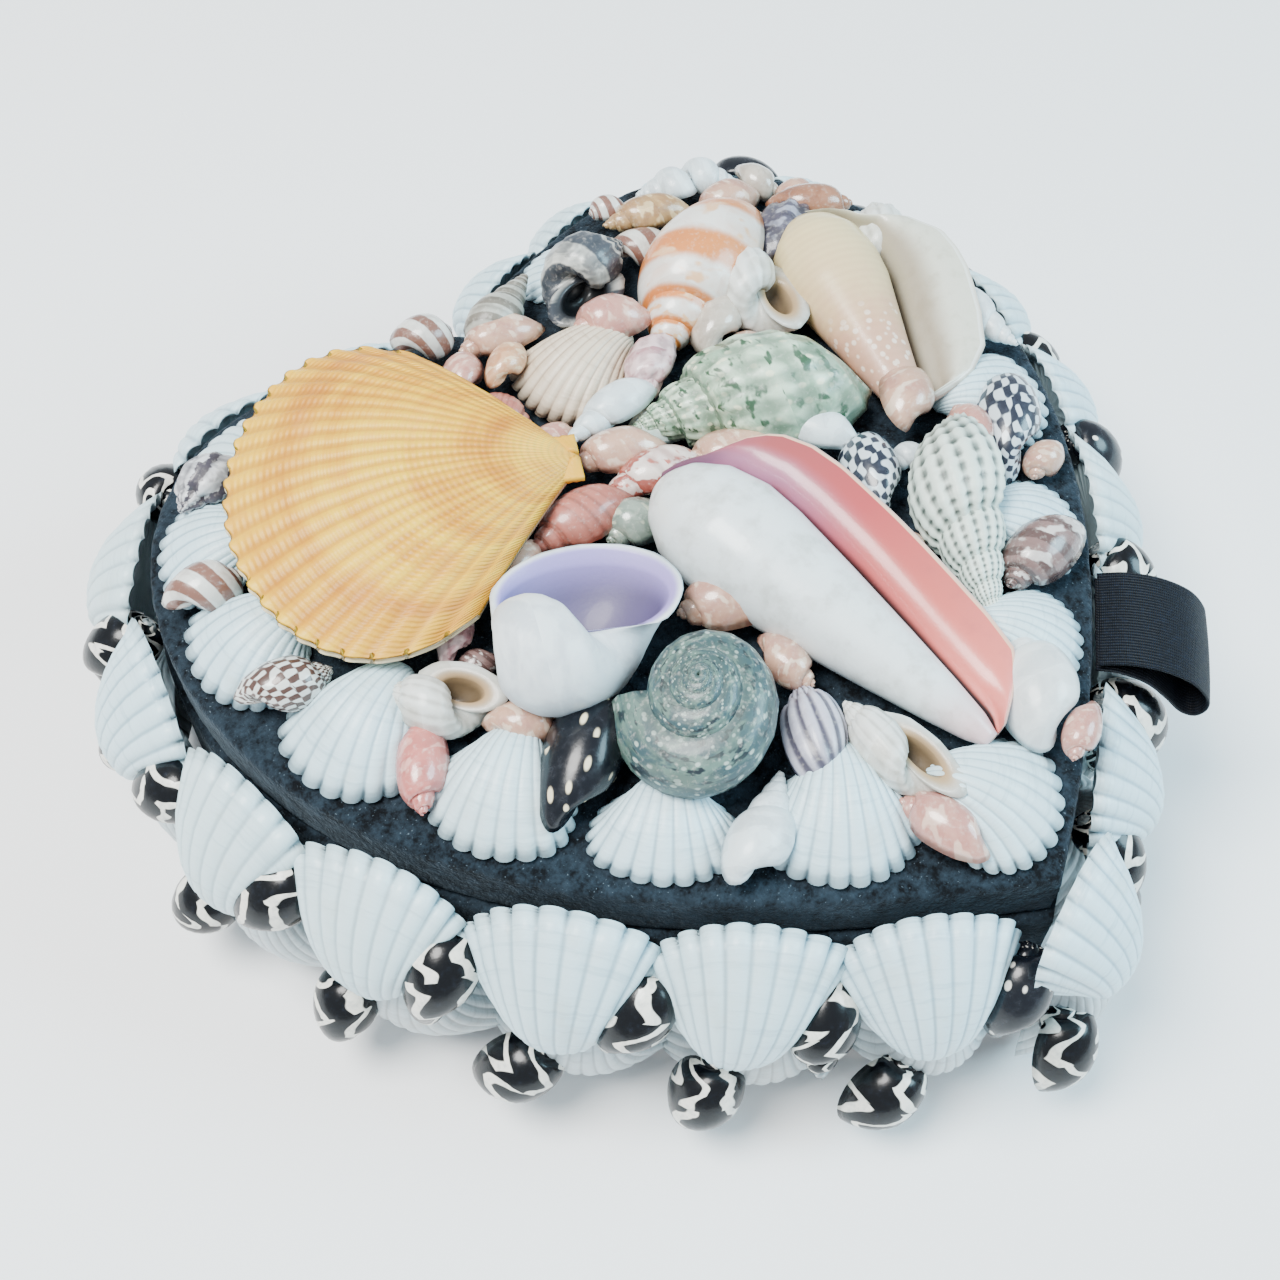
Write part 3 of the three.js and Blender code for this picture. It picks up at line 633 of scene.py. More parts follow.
def mat_snail(name, base, second, mouth, bands=0.0, flames=0.0, blotch=0.5, rough=0.35, coat=0.3, spots=None,
              groove_shade=0.35, seams=0.45, third=None, fine_scale=1.0, soft=0.0):
    """Coiled shell: bands run with the coil, flames across it, blotches everywhere; the low ground between ribs and
    cords and the deep mouth get painted shade.
    """
    n = Nodes(name)
    u, v, _ = n.uv("grow")
    g, inn, _ = n.uv("marks")
    r, r2, _ = n.uv("tint")
    seed = n.math("MULTIPLY", r, 23.0)
    grain = n.noise(1.0, 4, 0.6, n.vec(n.math("MULTIPLY", u, 14.0), n.math("MULTIPLY", v, 9.0), seed))
    fine = n.noise(1300, 3, 0.6)
    fs = fine_scale
    blot = n.noise(1.0, 3, 0.6, n.vec(n.math("MULTIPLY", u, 5.0 * fs), n.math("MULTIPLY", v, 6.0 * fs), seed), 0.6)
    k = n.math("MULTIPLY", n.step(blot, 0.44, 0.62), blotch)
    if bands:
        bw = n.math("ADD", 0.5, n.math("MULTIPLY", n.math("SINE", n.math("ADD", n.math("MULTIPLY", v, TAU * bands), n.math("MULTIPLY", blot, 1.2))), 0.5))
        k = n.math("MAXIMUM", k, n.step(bw, 0.42 - soft, 0.62 + soft))
    if flames:
        fw = n.math("ADD", n.math("MULTIPLY", u, TAU * flames), n.math("MULTIPLY", blot, 7.0))
        fw = n.math("ADD", 0.5, n.math("MULTIPLY", n.math("SINE", fw), 0.5))
        k = n.math("MAXIMUM", k, n.step(fw, 0.55, 0.75))
    col = n.mix(k, base, second)
    if third:
        col = n.mix(n.step(n.noise(1.0, 2, 0.5, n.vec(n.math("MULTIPLY", u, 9.0 * fs), n.math("MULTIPLY", v, 14.0 * fs), seed)), 0.56, 0.64), col, third)
    if spots:
        d = n.voronoi(1.0, n.vec(n.math("MULTIPLY", u, 13.0 * fs), n.math("MULTIPLY", v, 11.0 * fs), seed))
        col = n.mix(n.step(d, 0.30, 0.18), col, spots)
    # painted shade: the low ground between ribs, cords and beads is darkened by this weight; on shells without relief
    # the mask is zero, so the whole shell is darkened evenly
    dark = tuple(c * 0.42 for c in second)
    col = n.mix(n.math("MULTIPLY", n.step(g, 0.55, 0.05), groove_shade), col, dark)
    col = n.mix(n.math("MULTIPLY", n.step(fine, 0.5, 0.8), 0.22), col, hexc("F1EFE6"))
    # the mouth colour, darkened deeper inside as painted shade
    col = n.mix(n.step(inn, 0.25, 0.6), col, n.mix(n.step(inn, 0.75, 1.0), mouth, tuple(c * 0.28 for c in mouth)))
    h = n.math("ADD", n.math("MULTIPLY", grain, 0.8), n.math("MULTIPLY", fine, 0.4))
    ro = n.math("ADD", rough - 0.05, n.math("MULTIPLY", grain, 0.15))
    return n.finish(col, ro, n.bump(h, 0.00018, 0.55), Coat_Weight=coat, Coat_Roughness=0.12)


def mat_scallop():
    n = Nodes("scallop_shell")
    u, v, _ = n.uv("grow")
    g, inn, _ = n.uv("marks")
    zones = n.noise(1.0, 3, 0.55, n.vec(n.math("MULTIPLY", u, 6.5), n.math("MULTIPLY", v, 0.05), 3.0))
    ray = n.noise(1.0, 2, 0.5, n.vec(n.math("MULTIPLY", u, 0.8), n.math("MULTIPLY", v, 0.9), 8.0))
    stain = n.noise(120, 4, 0.6)
    fine = n.noise(1500, 3, 0.6)
    col = n.ramp(n.math("ADD", n.math("MULTIPLY", zones, 0.75), n.math("MULTIPLY", ray, 0.25)),
                 [(0.36, hexc("B9700C")), (0.47, hexc("D89A12")), (0.60, hexc("EDBB1E"))])
    # painted shade: the grooves between the ribs are darkened towards brown
    col = n.mix(n.math("MULTIPLY", n.step(g, 0.45, 1.0), 0.45), col, hexc("A8660F"))
    col = n.mix(n.math("MULTIPLY", n.step(stain, 0.52, 0.75), 0.30), col, hexc("D98E52"))
    col = n.mix(n.math("MULTIPLY", n.step(u, 0.30, 0.02), 0.30), col, hexc("E8C860"))
    col = n.mix(n.step(inn, 0.4, 0.6), col, hexc("E6D9B4"))
    scales = n.math("SINE", n.math("MULTIPLY", u, 330.0))
    h = n.math("ADD", n.math("MULTIPLY", scales, 0.25), n.math("ADD", n.math("MULTIPLY", zones, 0.6), n.math("MULTIPLY", fine, 0.5)))
    return n.finish(col, n.math("ADD", 0.40, n.math("MULTIPLY", stain, 0.2)), n.bump(h, 0.0003, 0.65), Coat_Weight=0.1, Coat_Roughness=0.3)


def mat_ribbon():
    n = Nodes("ribbon_cloth")
    u, v, _ = n.uv("grow")
    warp = n.math("SINE", n.math("MULTIPLY", v, TAU * 33))
    weft = n.math("SINE", n.math("MULTIPLY", u, TAU * 3.2))
    yarn = n.noise(1400, 3, 0.6)
    wv = n.math("ADD", n.math("MULTIPLY", warp, 0.6), n.math("MULTIPLY", weft, 0.4))
    col = n.ramp(n.math("ADD", n.math("MULTIPLY", wv, 0.22), yarn),
                 [(0.25, hexc("020408")), (0.6, hexc("070C15")), (0.9, hexc("121B2A"))])
    h = n.math("ADD", wv, n.math("MULTIPLY", yarn, 0.5))
    return n.finish(col, n.math("ADD", 0.42, n.math("MULTIPLY", yarn, 0.2)), n.bump(h, 0.00012, 0.7),
                    Sheen_Weight=0.03, Sheen_Roughness=0.3, Sheen_Tint=(0.4, 0.5, 0.7), Specular_IOR_Level=0.18)


VELVET = mat_velvet("velvet_cloth", hexc("06090D"), hexc("27333D"), hexc("6F818C"))
VELVET_IN = mat_velvet("velvet_lining", hexc("080E15"), hexc("24323F"), hexc("51697C"))
# painted light: the white cockles' crest and groove colours carry the cyan cast of the cool light; the shells
# themselves are white
COCKLE = mat_ribbed("white_cockle_shell", hexc("C6E4EE"), hexc("6A8FA2"), hexc("B4BDB4"), warm=hexc("C9D6D0"))
# painted shade: the lower row gets its own greyer, browner copy of the white cockle material, standing in for the shade
# under the upper row
COCKLE_LOW_SHADED = mat_ribbed("white_cockle_low_shaded", hexc("C3D5DC"), hexc("788890"), hexc("A5978A"), warm=hexc("B4A99C"))
BEIGE_RIB = mat_ribbed("beige_cockle_shell", hexc("D9CDB8"), hexc("7E6A5A"), hexc("A98A6E"), warm=hexc("B79B80"))
ZEBRA = mat_zebra("zebra_nerite_shell")
DOTTED = mat_dots("dotted_nerite_shell", hexc("0D1118"), hexc("DDDAD0"))
SCALLOP = mat_scallop()
RIBBON = mat_ribbon()

# ------------------------------------------------------------------ velvet tray and lid
NECK_OUT = -(LID_WALL + FIT_GAP)
RIM_Z = LID_TOP - LID_RIM
PLATE_Z = LID_TOP - LID_PLATE
SHOULDER_Z, NECK_Z = RIM_Z - FIT_GAP, PLATE_Z - FIT_GAP


def sweep_rings(name, stops, mats, node, slot, n=400, fuzz=0.10, size=1.3):
    """stops are (offset from the lid's edge, z, share of shrink, material)."""
    rows, P = [], []
    for st in stops:
        o, z, k = st[:3]
        base = ring(o, n)
        xy = np.array([CX, CY]) + (base - [CX, CY]) * k
        P.append(np.column_stack([xy, np.full(n, z)]))
    P = np.array(P)
    nr = normals(P)
    cen = np.array([CX, CY, 25.0])
    d = np.array([[noise.noise(Vector(p) / size) + 0.6 * noise.noise(Vector(p) / (size * 2.7)) for p in row] for row in P]) * fuzz
    P = P + nr * d[..., None] * 1.0
    P[..., 2] = np.maximum(P[..., 2], 0.0)
    d1 = np.cumsum(np.concatenate([[0], np.linalg.norm(np.diff(P, axis=0), axis=2).mean(1)]))
    g = np.stack(np.broadcast_arrays(d1[:, None], np.linspace(0, GIRTH, n + 1)[None]), -1)
    m = np.zeros_like(g)
    sk = Skin()
    sk.grid(P, g, m)
    o = sk.build(name, mats, node, slot)
    if len(mats) > 1:
        inside = np.array([st[3] for st in stops])
        poly = np.zeros(len(o.data.polygons), int)
        quads = (len(stops) - 1) * n
        row = np.arange(quads) // n
        poly[:quads] = np.maximum(inside[row], inside[row + 1])
        poly[quads:quads + n] = inside[0]
        poly[quads + n:] = inside[-1]
        o.data.polygons.foreach_set("material_index", poly)
    return o


def smooth_z(z0, z1, n):
    return np.linspace(z0, z1, n)


tray_stops = [(WALL_PAD, 0.0, 0.03, 1), (WALL_PAD, 0.0, 0.5, 1), (WALL_PAD, 0.0, 0.97, 1), (WALL_PAD - 0.5, 0.0, 1, 0), (WALL_PAD, 0.5, 1, 0)]
tray_stops += [(WALL_PAD, z, 1, 0) for z in smooth_z(2.0, SHOULDER_Z - 1.6, 26)]
tray_stops += [(WALL_PAD - 0.15, SHOULDER_Z - 0.6, 1, 0), (WALL_PAD - 0.6, SHOULDER_Z - 0.15, 1, 0), (WALL_PAD - 1.2, SHOULDER_Z, 1, 0),
               (NECK_OUT + 0.4, SHOULDER_Z, 1, 0), (NECK_OUT, SHOULDER_Z + 0.4, 1, 0)]
tray_stops += [(NECK_OUT, z, 1, 0) for z in (SHOULDER_Z + 2.5, NECK_Z - 1.0)]
tray_stops += [(NECK_OUT - 0.25, NECK_Z - 0.2, 1, 0), (NECK_OUT - 0.8, NECK_Z, 1, 0), (NECK_OUT - NECK_WALL + 0.8, NECK_Z, 1, 1),
               (NECK_OUT - NECK_WALL + 0.2, NECK_Z - 0.2, 1, 1), (NECK_OUT - NECK_WALL, NECK_Z - 0.9, 1, 1)]
tray_stops += [(NECK_OUT - NECK_WALL, z, 1, 1) for z in smooth_z(NECK_Z - 4, TRAY_FLOOR + 1.5, 12)]
tray_stops += [(NECK_OUT - NECK_WALL, TRAY_FLOOR + 0.5, 1, 1), (NECK_OUT - NECK_WALL - 0.6, TRAY_FLOOR, 1, 1)]
tray_stops += [(NECK_OUT - NECK_WALL, TRAY_FLOOR, k, 1) for k in (0.93, 0.8, 0.62, 0.42, 0.2, 0.04)]
tray = sweep_rings("velvet_tray", tray_stops, [VELVET, VELVET_IN], "box_tray", "velvet", fuzz=0.09)

lid_stops = [(-LID_WALL, PLATE_Z, 0.04, 1)]
lid_stops += [(-LID_WALL, PLATE_Z, k, 1) for k in (0.3, 0.6, 0.85)]
lid_stops += [(-LID_WALL, PLATE_Z, 0.985, 1), (-LID_WALL, PLATE_Z - 0.6, 1, 1)]
lid_stops += [(-LID_WALL, RIM_Z + 0.5, 1, 1), (-LID_WALL + 0.4, RIM_Z, 1, 0), (-0.4, RIM_Z, 1, 0), (0, RIM_Z + 0.5, 1, 0)]
lid_stops += [(0, z, 1, 0) for z in smooth_z(RIM_Z + 1.4, LID_TOP - 1.7, 8)]
lid_stops += [(-0.08, LID_TOP - 0.8, 1, 0), (-0.4, LID_TOP - 0.25, 1, 0), (-0.9, LID_TOP, 1, 0)]
lid_stops += [(-0.9, LID_TOP + float(np.interp(k, DOME_T, DOME_Z)), k, 0)
              for k in (0.985, 0.97, 0.955, 0.94, 0.925, 0.91, 0.895, 0.88, 0.865, 0.85, 0.82, 0.78, 0.73, 0.66, 0.58, 0.50, 0.42, 0.32, 0.2, 0.1, 0.03)]
lid = sweep_rings("velvet_lid", lid_stops, [VELVET, VELVET_IN], "lid", "velvet", fuzz=0.16, size=1.1)

# ------------------------------------------------------------------ ribbon pull
def catmull(pts, n):
    pts = np.asarray(pts, float)
    d = np.concatenate([[0], np.cumsum(np.linalg.norm(np.diff(pts, axis=0), axis=1))])
    s = np.linspace(0, d[-1], n)
    ext = np.vstack([2 * pts[0] - pts[1], pts, 2 * pts[-1] - pts[-2]])
    out = []
    for v in s:
        i = min(int(np.searchsorted(d, v, side="right")) - 1, len(pts) - 2)
        t = (v - d[i]) / (d[i + 1] - d[i])
        p0, p1, p2, p3 = ext[i:i + 4]
        out.append(0.5 * ((2 * p1) + (-p0 + p2) * t + (2 * p0 - 5 * p1 + 4 * p2 - p3) * t * t + (-p0 + 3 * p1 - 3 * p2 + p3) * t**3))
    return np.array(out)


RIB_S = 44.2
rp, rn = along(RIB_S), outward(RIB_S)
rt = np.array([-rn[1], rn[0]])
line = catmull([(0.75, 48.9), (5, 49.9), (10, 49.4), (14.8, 47.2), (17.8, 43.8), (18.6, 41.0), (17.4, 38.9), (15.0, 39.6), (12.0, 42.8), (8.5, 45.9), (4.2, 47.6), (0.75, 47.7)], 64)
dl = np.gradient(line, axis=0)
dl /= np.linalg.norm(dl, axis=1)[:, None]
nl = np.stack([-dl[:, 1], dl[:, 0]], 1)
across = np.linspace(-8.25, 8.25, 67)
length = float(np.linalg.norm(np.diff(line, axis=0), axis=1).sum())
cords = 0.045 * np.cos(across / 16.5 * TAU * 33)
bow = 0.25 * (1 - (across / 8.25) ** 2)
P = []
for q in range(len(line)):
    tw = 0.10 * math.sin(q / len(line) * math.pi)
    off = cords + bow * math.sin(q / len(line) * math.pi)
    oo = line[q, 0] + nl[q, 0] * off
    zz = line[q, 1] + nl[q, 1] * off + tw * across * 0.25
    P.append(np.column_stack([rp[0] + rn[0] * oo + rt[0] * across, rp[1] + rn[1] * oo + rt[1] * across, zz]))
P = np.array(P)
uu = np.linspace(0, length, len(line))
g = np.stack(np.broadcast_arrays(uu[:, None], (across / 16.5 + 0.5)[None]), -1)
sk = Skin()
sk.grid(P, g, np.zeros_like(g), wrap=False, caps=False)
ribbon = sk.build("ribbon_loop", RIBBON, "ribbon_pull", "ribbon")
thick = ribbon.modifiers.new("thickness", "SOLIDIFY")
thick.thickness, thick.offset = 0.00036, 0.0

# ------------------------------------------------------------------ rows of cockles round the side
UPPER_ROW = [3, 24.5, 48.3, 72, 95, 114.5, 134, 153.5, 174, 192.5, 211, 249.5, 273, 297, 320, 344, 368, 393, 417.7, 442]
LOWER_ROW = [s + (0 if i == 0 else 1.5 if i < 10 else 0 if i < 12 else 3.5) for i, s in enumerate(UPPER_ROW)]
rng = np.random.default_rng(11)


def pitch(row, i, o):
    at = [along(row[(i + d) % len(row)]) + outward(row[(i + d) % len(row)]) * o for d in (-1, 0, 1)]
    return min(np.linalg.norm(at[0] - at[1]), np.linalg.norm(at[2] - at[1]))


K = 0.70
for i, s in enumerate(UPPER_ROW):
    low = 5.0 if i == 2 else 0.0
    w = min(27.6, pitch(UPPER_ROW, i, 4.5) * 1.10)
    h = 27.4 - low * 1.1 + rng.uniform(-0.5, 0.5)
    lean, turn = 0.16, rng.uniform(-0.10, 0.10)
    p, n = along(s), outward(s)
    tang = np.array([-n[1], n[0], 0.0])
    c, t = math.cos(lean), math.sin(lean)
    ey = unit(np.array([-n[0] * t, -n[1] * t, c]) + tang * turn)
    ez = [n[0] * c, n[1] * c, t]
    reach = reach_of(h, K)
    zo, oo = 48.2 - low - reach * c, 2.0 + reach * t
    sk = Skin()
    mirror = 1 if i % 4 else -1
    P, g, m, _ = cockle_points(w=w, h=h, k=K, ribs=int(rng.integers(19, 22)), per=6, seed=i, corner=0.085, rib=0.46, teeth=0.80)
    P[..., 0] *= mirror
    sk.grid(np.array([p[0] + n[0] * oo, p[1] + n[1] * oo, zo]) - tang * turn * reach * 0.5 + P @ frame_of(ey, ez), g, m, (rng.uniform(0, 1), rng.uniform(0, 1)))
    sk.build(f"side_cockle_{i + 1:02d}", COCKLE, f"upper_cockle_{i + 1:02d}", "white_cockle")

for i, s in enumerate(LOWER_ROW):
    w = min(27.0, pitch(LOWER_ROW, i, 4.5) * 1.08)
    h = 25.8 + rng.uniform(-0.6, 0.6)
    lean, turn = 0.10, rng.uniform(-0.10, 0.10)
    p, n = along(s), outward(s)
    tang = np.array([-n[1], n[0], 0.0])
    c, t = math.cos(lean), math.sin(lean)
    ey = unit(np.array([n[0] * t, n[1] * t, -c]) + tang * turn)
    ez = [n[0] * c, n[1] * c, t]
    reach = reach_of(h, K)
    back = 1.9 + (2.2 if i == 0 else 0.2)
    sk = Skin()
    P, g, m, _ = cockle_points(w=w, h=h, k=K, ribs=int(rng.integers(19, 22)), per=5, seed=100 + i, corner=0.07, rib=0.40, teeth=0.60)
    sk.grid(np.array([p[0] + n[0] * back, p[1] + n[1] * back, 0.9 + reach * c]) + P @ frame_of(ey, ez), g, m, (rng.uniform(0.2, 1), rng.uniform(0, 1)))
    k = (i + 1) % 20 // 2
    # the lower row's cockles take the copy with painted shade
    sk.build(f"base_cockle_{i + 1:02d}", COCKLE_LOW_SHADED, f"lower_cockles_{k + 1:02d}", "white_cockle")

# ------------------------------------------------------------------ zebra nerites between them
def nerite_coil(seed, slim=False):
    if slim:
        return snail_points(turns=3.2, W=2.1, R0=0.8, a=0.80, b=1.25, T=2.3, step=18, N=22, canal=0.25, seed=seed)
    return snail_points(turns=2.7, W=2.25, R0=0.72, a=0.76, b=1.08, T=1.35, step=24, N=28, seed=seed, rough=0.012, wall=0.3)


# distance along the edge, outward, height, length, breadth, turn of the spire off straight up (degrees), kind
NERITES = [
    (284, 7.0, 38.5, 12.5, 10, 20, "z"), (309, 8.2, 36.0, 14, 11, -15, "z"), (332, 8.6, 34.5, 13.5, 10.5, 25, "z"),
    (353.5, 9.0, 34.0, 14.5, 11, 8, "z"), (378.0, 9.4, 33.2, 14.5, 11, -12, "z"), (404.3, 9.4, 33.4, 13.5, 10, 15, "z"),
    (429.0, 9.6, 31.6, 15.5, 9.8, 178, "s"), (454.6, 8.6, 33.5, 13, 9.5, 10, "d"), (15.5, 8.6, 31.5, 13.5, 10, 15, "z"),
    (36.2, 9.0, 36.0, 13.5, 10.5, -10, "z"), (60.5, 9.0, 37.0, 13, 10, 20, "z"), (83.8, 8.4, 38.0, 12.5, 10, 0, "d"),
    (105, 8.4, 35.5, 13, 10, 15, "z"), (124.5, 8.4, 35, 12.5, 10, -10, "z"), (144, 8.2, 36, 12.5, 9.5, 12, "d"),
    (163.5, 7.6, 42.0, 12.0, 9.5, 70, "d"), (183.4, 7.8, 35.5, 12.5, 9.5, 10, "z"), (202, 7.0, 35, 12, 9, -15, "z"),
    (261.4, 7.4, 36.0, 12.5, 9.5, 12, "z"),
    (339.4, 13.2, 15.5, 12.5, 10.5, 10, "l"), (364.0, 13.0, 15.2, 13, 10.5, -20, "l"), (388.3, 13.2, 14.2, 13, 10.5, 35, "l"),
    (413.6, 13.4, 13.0, 13, 10.5, 5, "l"), (438.2, 13.6, 11.6, 13, 10.5, 30, "l"), (459.2, 12.4, 15.0, 13, 10.5, 15, "l"),
    (17.5, 12.2, 14.0, 13, 10, -15, "l"), (38.8, 11.8, 14.0, 12.5, 10, 10, "l"), (62.6, 11.8, 14.2, 12.5, 10, -12, "l"),
    (85.0, 11.6, 14.0, 12.5, 10, 12, "l"), (106.2, 11.2, 14.0, 12.5, 10, 0, "l"), (125.8, 11.2, 14.2, 12.5, 10, 18, "l"),
    (145.2, 11.0, 14.0, 12.5, 10, -10, "l"), (165.2, 10.8, 14.0, 12, 10, 10, "l"), (184.8, 10.4, 14.0, 12, 9.5, 0, "l"),
    (203.2, 9.8, 14.0, 12, 9, 14, "l"), (262, 10.0, 14.0, 12, 9.5, 0, "l"), (288.5, 11.6, 14.0, 12.5, 10, 12, "l"),
    (312.2, 12.4, 15.0, 12.5, 10.5, -10, "l"),
]
LOWER_MIDS = []
for k in range(10):
    i, j = (2 * k + 19) % 20, (2 * k) % 20
    LOWER_MIDS.append((LOWER_ROW[i] + ((LOWER_ROW[j] - LOWER_ROW[i]) % GIRTH) / 2) % GIRTH)
for q, (s, o, z, L, Wd, deg, kind) in enumerate(NERITES):
    p, n = along(s), outward(s)
    tang = np.array([-n[1], n[0], 0.0])
    a = math.radians(deg)
    tilt = 0.55 if kind == "l" else 0.80
    axis = np.array([0, 0, 1.0]) * math.cos(tilt) - np.array([n[0], n[1], 0]) * math.sin(tilt)
    axis = unit(axis * math.cos(a) + tang * math.sin(a))
    cen = np.array([p[0] + n[0] * o, p[1] + n[1] * o, z])
    P, g, m = nerite_coil(q, kind == "s")
    L, Wd = L * 1.10, Wd * 1.08
    P = fit(P, L, Wd, Wd * 0.86)
    P = lay(P, cen + axis * L / 2, cen - axis * L / 2, face=(-n[0], -n[1], -0.6), roll=rng.uniform(-12, 12))
    sk = Skin()
    sk.grid(P, g, m, (rng.uniform(0, 1), rng.uniform(0, 1)))
    node = None
    if kind == "l":
        d = [abs((s - v + GIRTH / 2) % GIRTH - GIRTH / 2) for v in LOWER_MIDS]
        node = f"lower_cockles_{int(np.argmin(d)) + 1:02d}" if min(d) < 7 else None
    sk.build(f"nerite_{q + 1:02d}", DOTTED if kind == "d" else ZEBRA, node, "black_nerite")

# ------------------------------------------------------------------ cockles round the lid's edge
EDGE = [
    (7.8, 20.5, 20), (37.4, 17, 17), (58.7, 18, 17), (86.5, 20, 19), (116.5, 18, 16), (134.5, 16.5, 15),
    (209.9, 16, 13.5), (257, 18.5, 15), (281, 19, 15), (304.7, 19.5, 17), (329.1, 21, 19), (355.8, 21, 21.5),
    (381.4, 20.8, 19.5), (406.4, 20.5, 16), (431.6, 21, 20.5),
]
for i, (s, w, h) in enumerate(EDGE):
    k = 0.82
    reach, p, n, inset = reach_of(h, k), along(s), outward(s, 8), 1.9
    rim, hinge = p - n * inset, p - n * (inset + reach)
    z0, z1 = lid_z(*hinge) + 0.5, lid_z(*rim) + 0.7
    sk = Skin()
    P, g, m, _ = cockle_points(w=w, h=h, k=k, ribs=int(rng.integers(18, 21)), per=6, seed=200 + i, corner=0.06, rib=0.44, teeth=0.65)
    if i % 3 == 0:
        P[..., 0] *= -1
    sk.grid(np.array([hinge[0], hinge[1], z0]) + P @ frame_of([rim[0] - hinge[0], rim[1] - hinge[1], z1 - z0], [0, 0, 1]), g, m, (rng.uniform(0, 0.7), rng.uniform(0, 1)))
    sk.build(f"rim_cockle_{i + 1:02d}", COCKLE, f"edge_cockle_{i + 1:02d}", "white_cockle")

# ------------------------------------------------------------------ big shells on the lid
def lifted(a, za, b, zb):
    return np.array([a[0], a[1], lid_z(*a) + za]), np.array([b[0], b[1], lid_z(*b) + zb])


hinge, rim = np.array([-8.6, 12.2]), np.array([-54.4, 37.2])
R = float(np.hypot(*(rim - hinge))) + 0.4
P, g, m = scallop_points(R, half=0.90, H=7.0)
sk = Skin()
O = np.array([hinge[0], hinge[1], lid_z(*hinge) + 9.0])
FR = frame_of([rim[0] - hinge[0], rim[1] - hinge[1], 0.4], [0, 0, 1])
sk.grid(O + P @ FR, g, m)
for sx in (-1, 1):                                     # ears at the hinge
    u = np.linspace(0, 1, 9)[:, None]
    v = np.linspace(0, 1, 9)[None]
    ex = sx * (0.6 + u * 3.6) + 0 * v
    ey_ = 0.4 + v * (1.6 + 3.2 * u) + 0 * u
    ez_ = 1.2 + 0.9 * np.sin(v * 3.0) * (1 - u) + 0.12 * np.sin(v * 22) + 0 * u
    up_ = np.stack([ex, ey_, ez_], -1)
    lo_ = np.stack([ex, ey_, ez_ - 0.9], -1)
    E = np.concatenate([up_, lo_[:, ::-1]], 1)
    ge = np.zeros((9, 19, 2)); ge[..., 0] = 0.2
    sk.grid(O + E @ FR, ge, np.zeros((9, 19, 2)))
sk.build("yellow_scallop", SCALLOP, "scallop", "yellow_scallop")


def conch(A, B, rad_t, rad_v, lip_t, lip_v, gap=1.2, shift=3.2, taper=1.2, tall=0.92, cup=0.6, slices=64):
    """Cone-shaped body with a flared lip: each cross-section is a thick hook that starts in the slit,
    runs over the body and round its back to the lip's edge, and returns along the lip's inner face."""
    L = float(np.linalg.norm(B - A))
    fr = frame_of(unit(B - A), [0, 0, 1])              # y along the shell, z up, x across
    tt = np.concatenate([np.linspace(0, 0.06, 6)[:-1], np.linspace(0.06, 1, slices)])
    rows, gl, mk = [], [], []
    for t in tt:
        r, lw = float(np.interp(t, rad_t, rad_v)), float(np.interp(t, lip_t, lip_v))
        bx = shift - taper * t                          # body centre, beside the slit
        H = r * tall
        gp = gap * min(1.0, lw / 3.0) * (0.7 + 0.6 * t)
        pts, tag = [], []
        slit = bx - r * 0.98                             # where the body meets the slit
        for f in np.linspace(0, 1, 7):                  # out of the slit, over the columella
            ang = math.radians(-38 + 38 * f)
            pts.append((bx - r * 0.98 * math.cos(ang), H * math.sin(ang)))
            tag.append((0.0, 1.0 - 0.85 * f))
        for f in np.linspace(0, 1, 26)[1:]:             # over the top, left side and underneath
            ang = math.radians(262 * f)
            pts.append((bx - r * math.cos(ang), H * math.sin(ang)))
            tag.append((f, 0.0))
        ex, ey = pts[-1]
        edge_x = slit - (gp + lw + 0.9)
        top_z = H * 0.40 + 0.9 - 0.35 * math.sin(t * 9)
        for f in np.linspace(0, 1, 9)[1:]:              # out to the lip's edge from below
            q = f * math.pi / 2
            pts.append((ex + (edge_x - ex) * math.sin(q), ey + (top_z - ey) * (1 - math.cos(q))))
            tag.append((1.0 + f, 0.0))
        for f in np.linspace(0, 1, 6)[1:]:              # rounded edge
            q = math.radians(90 * f)
            pts.append((edge_x + 0.8 * (1 - math.cos(q)), top_z + 0.8 * math.sin(q)))
            tag.append((2.0, 0.10 * f))
        for f in np.linspace(0, 1, 13)[1:]:             # inner face of the lip, down into the slit
            pts.append((edge_x + 0.8 + (lw - 0.2) * f, top_z + 0.8 + cup * (math.sin(f * math.pi * 0.9) * 0.5) - 1.9 * f**4 - cup * 0.5 * f))
            tag.append((2.0 + f, 0.5 + 0.1 * f))
        for f in np.linspace(0, 1, 6)[1:]:
            pts.append((slit - gp * (1 - 0.8 * f), top_z - 1.1 - (H * 0.40 + H * 0.45) * f))
            tag.append((3.0, 0.65 + 0.35 * f))
        pts, tag = np.array(pts), np.array(tag)
        rows.append(np.column_stack([pts[:, 0], np.full(len(pts), t * L), pts[:, 1]]))
        gl.append(np.column_stack([np.full(len(pts), t), tag[:, 0]]))
        mk.append(np.column_stack([np.zeros(len(pts)), tag[:, 1]]))
    P = np.array(rows)
    return A + P @ fr, close(np.array(gl)), close(np.array(mk))


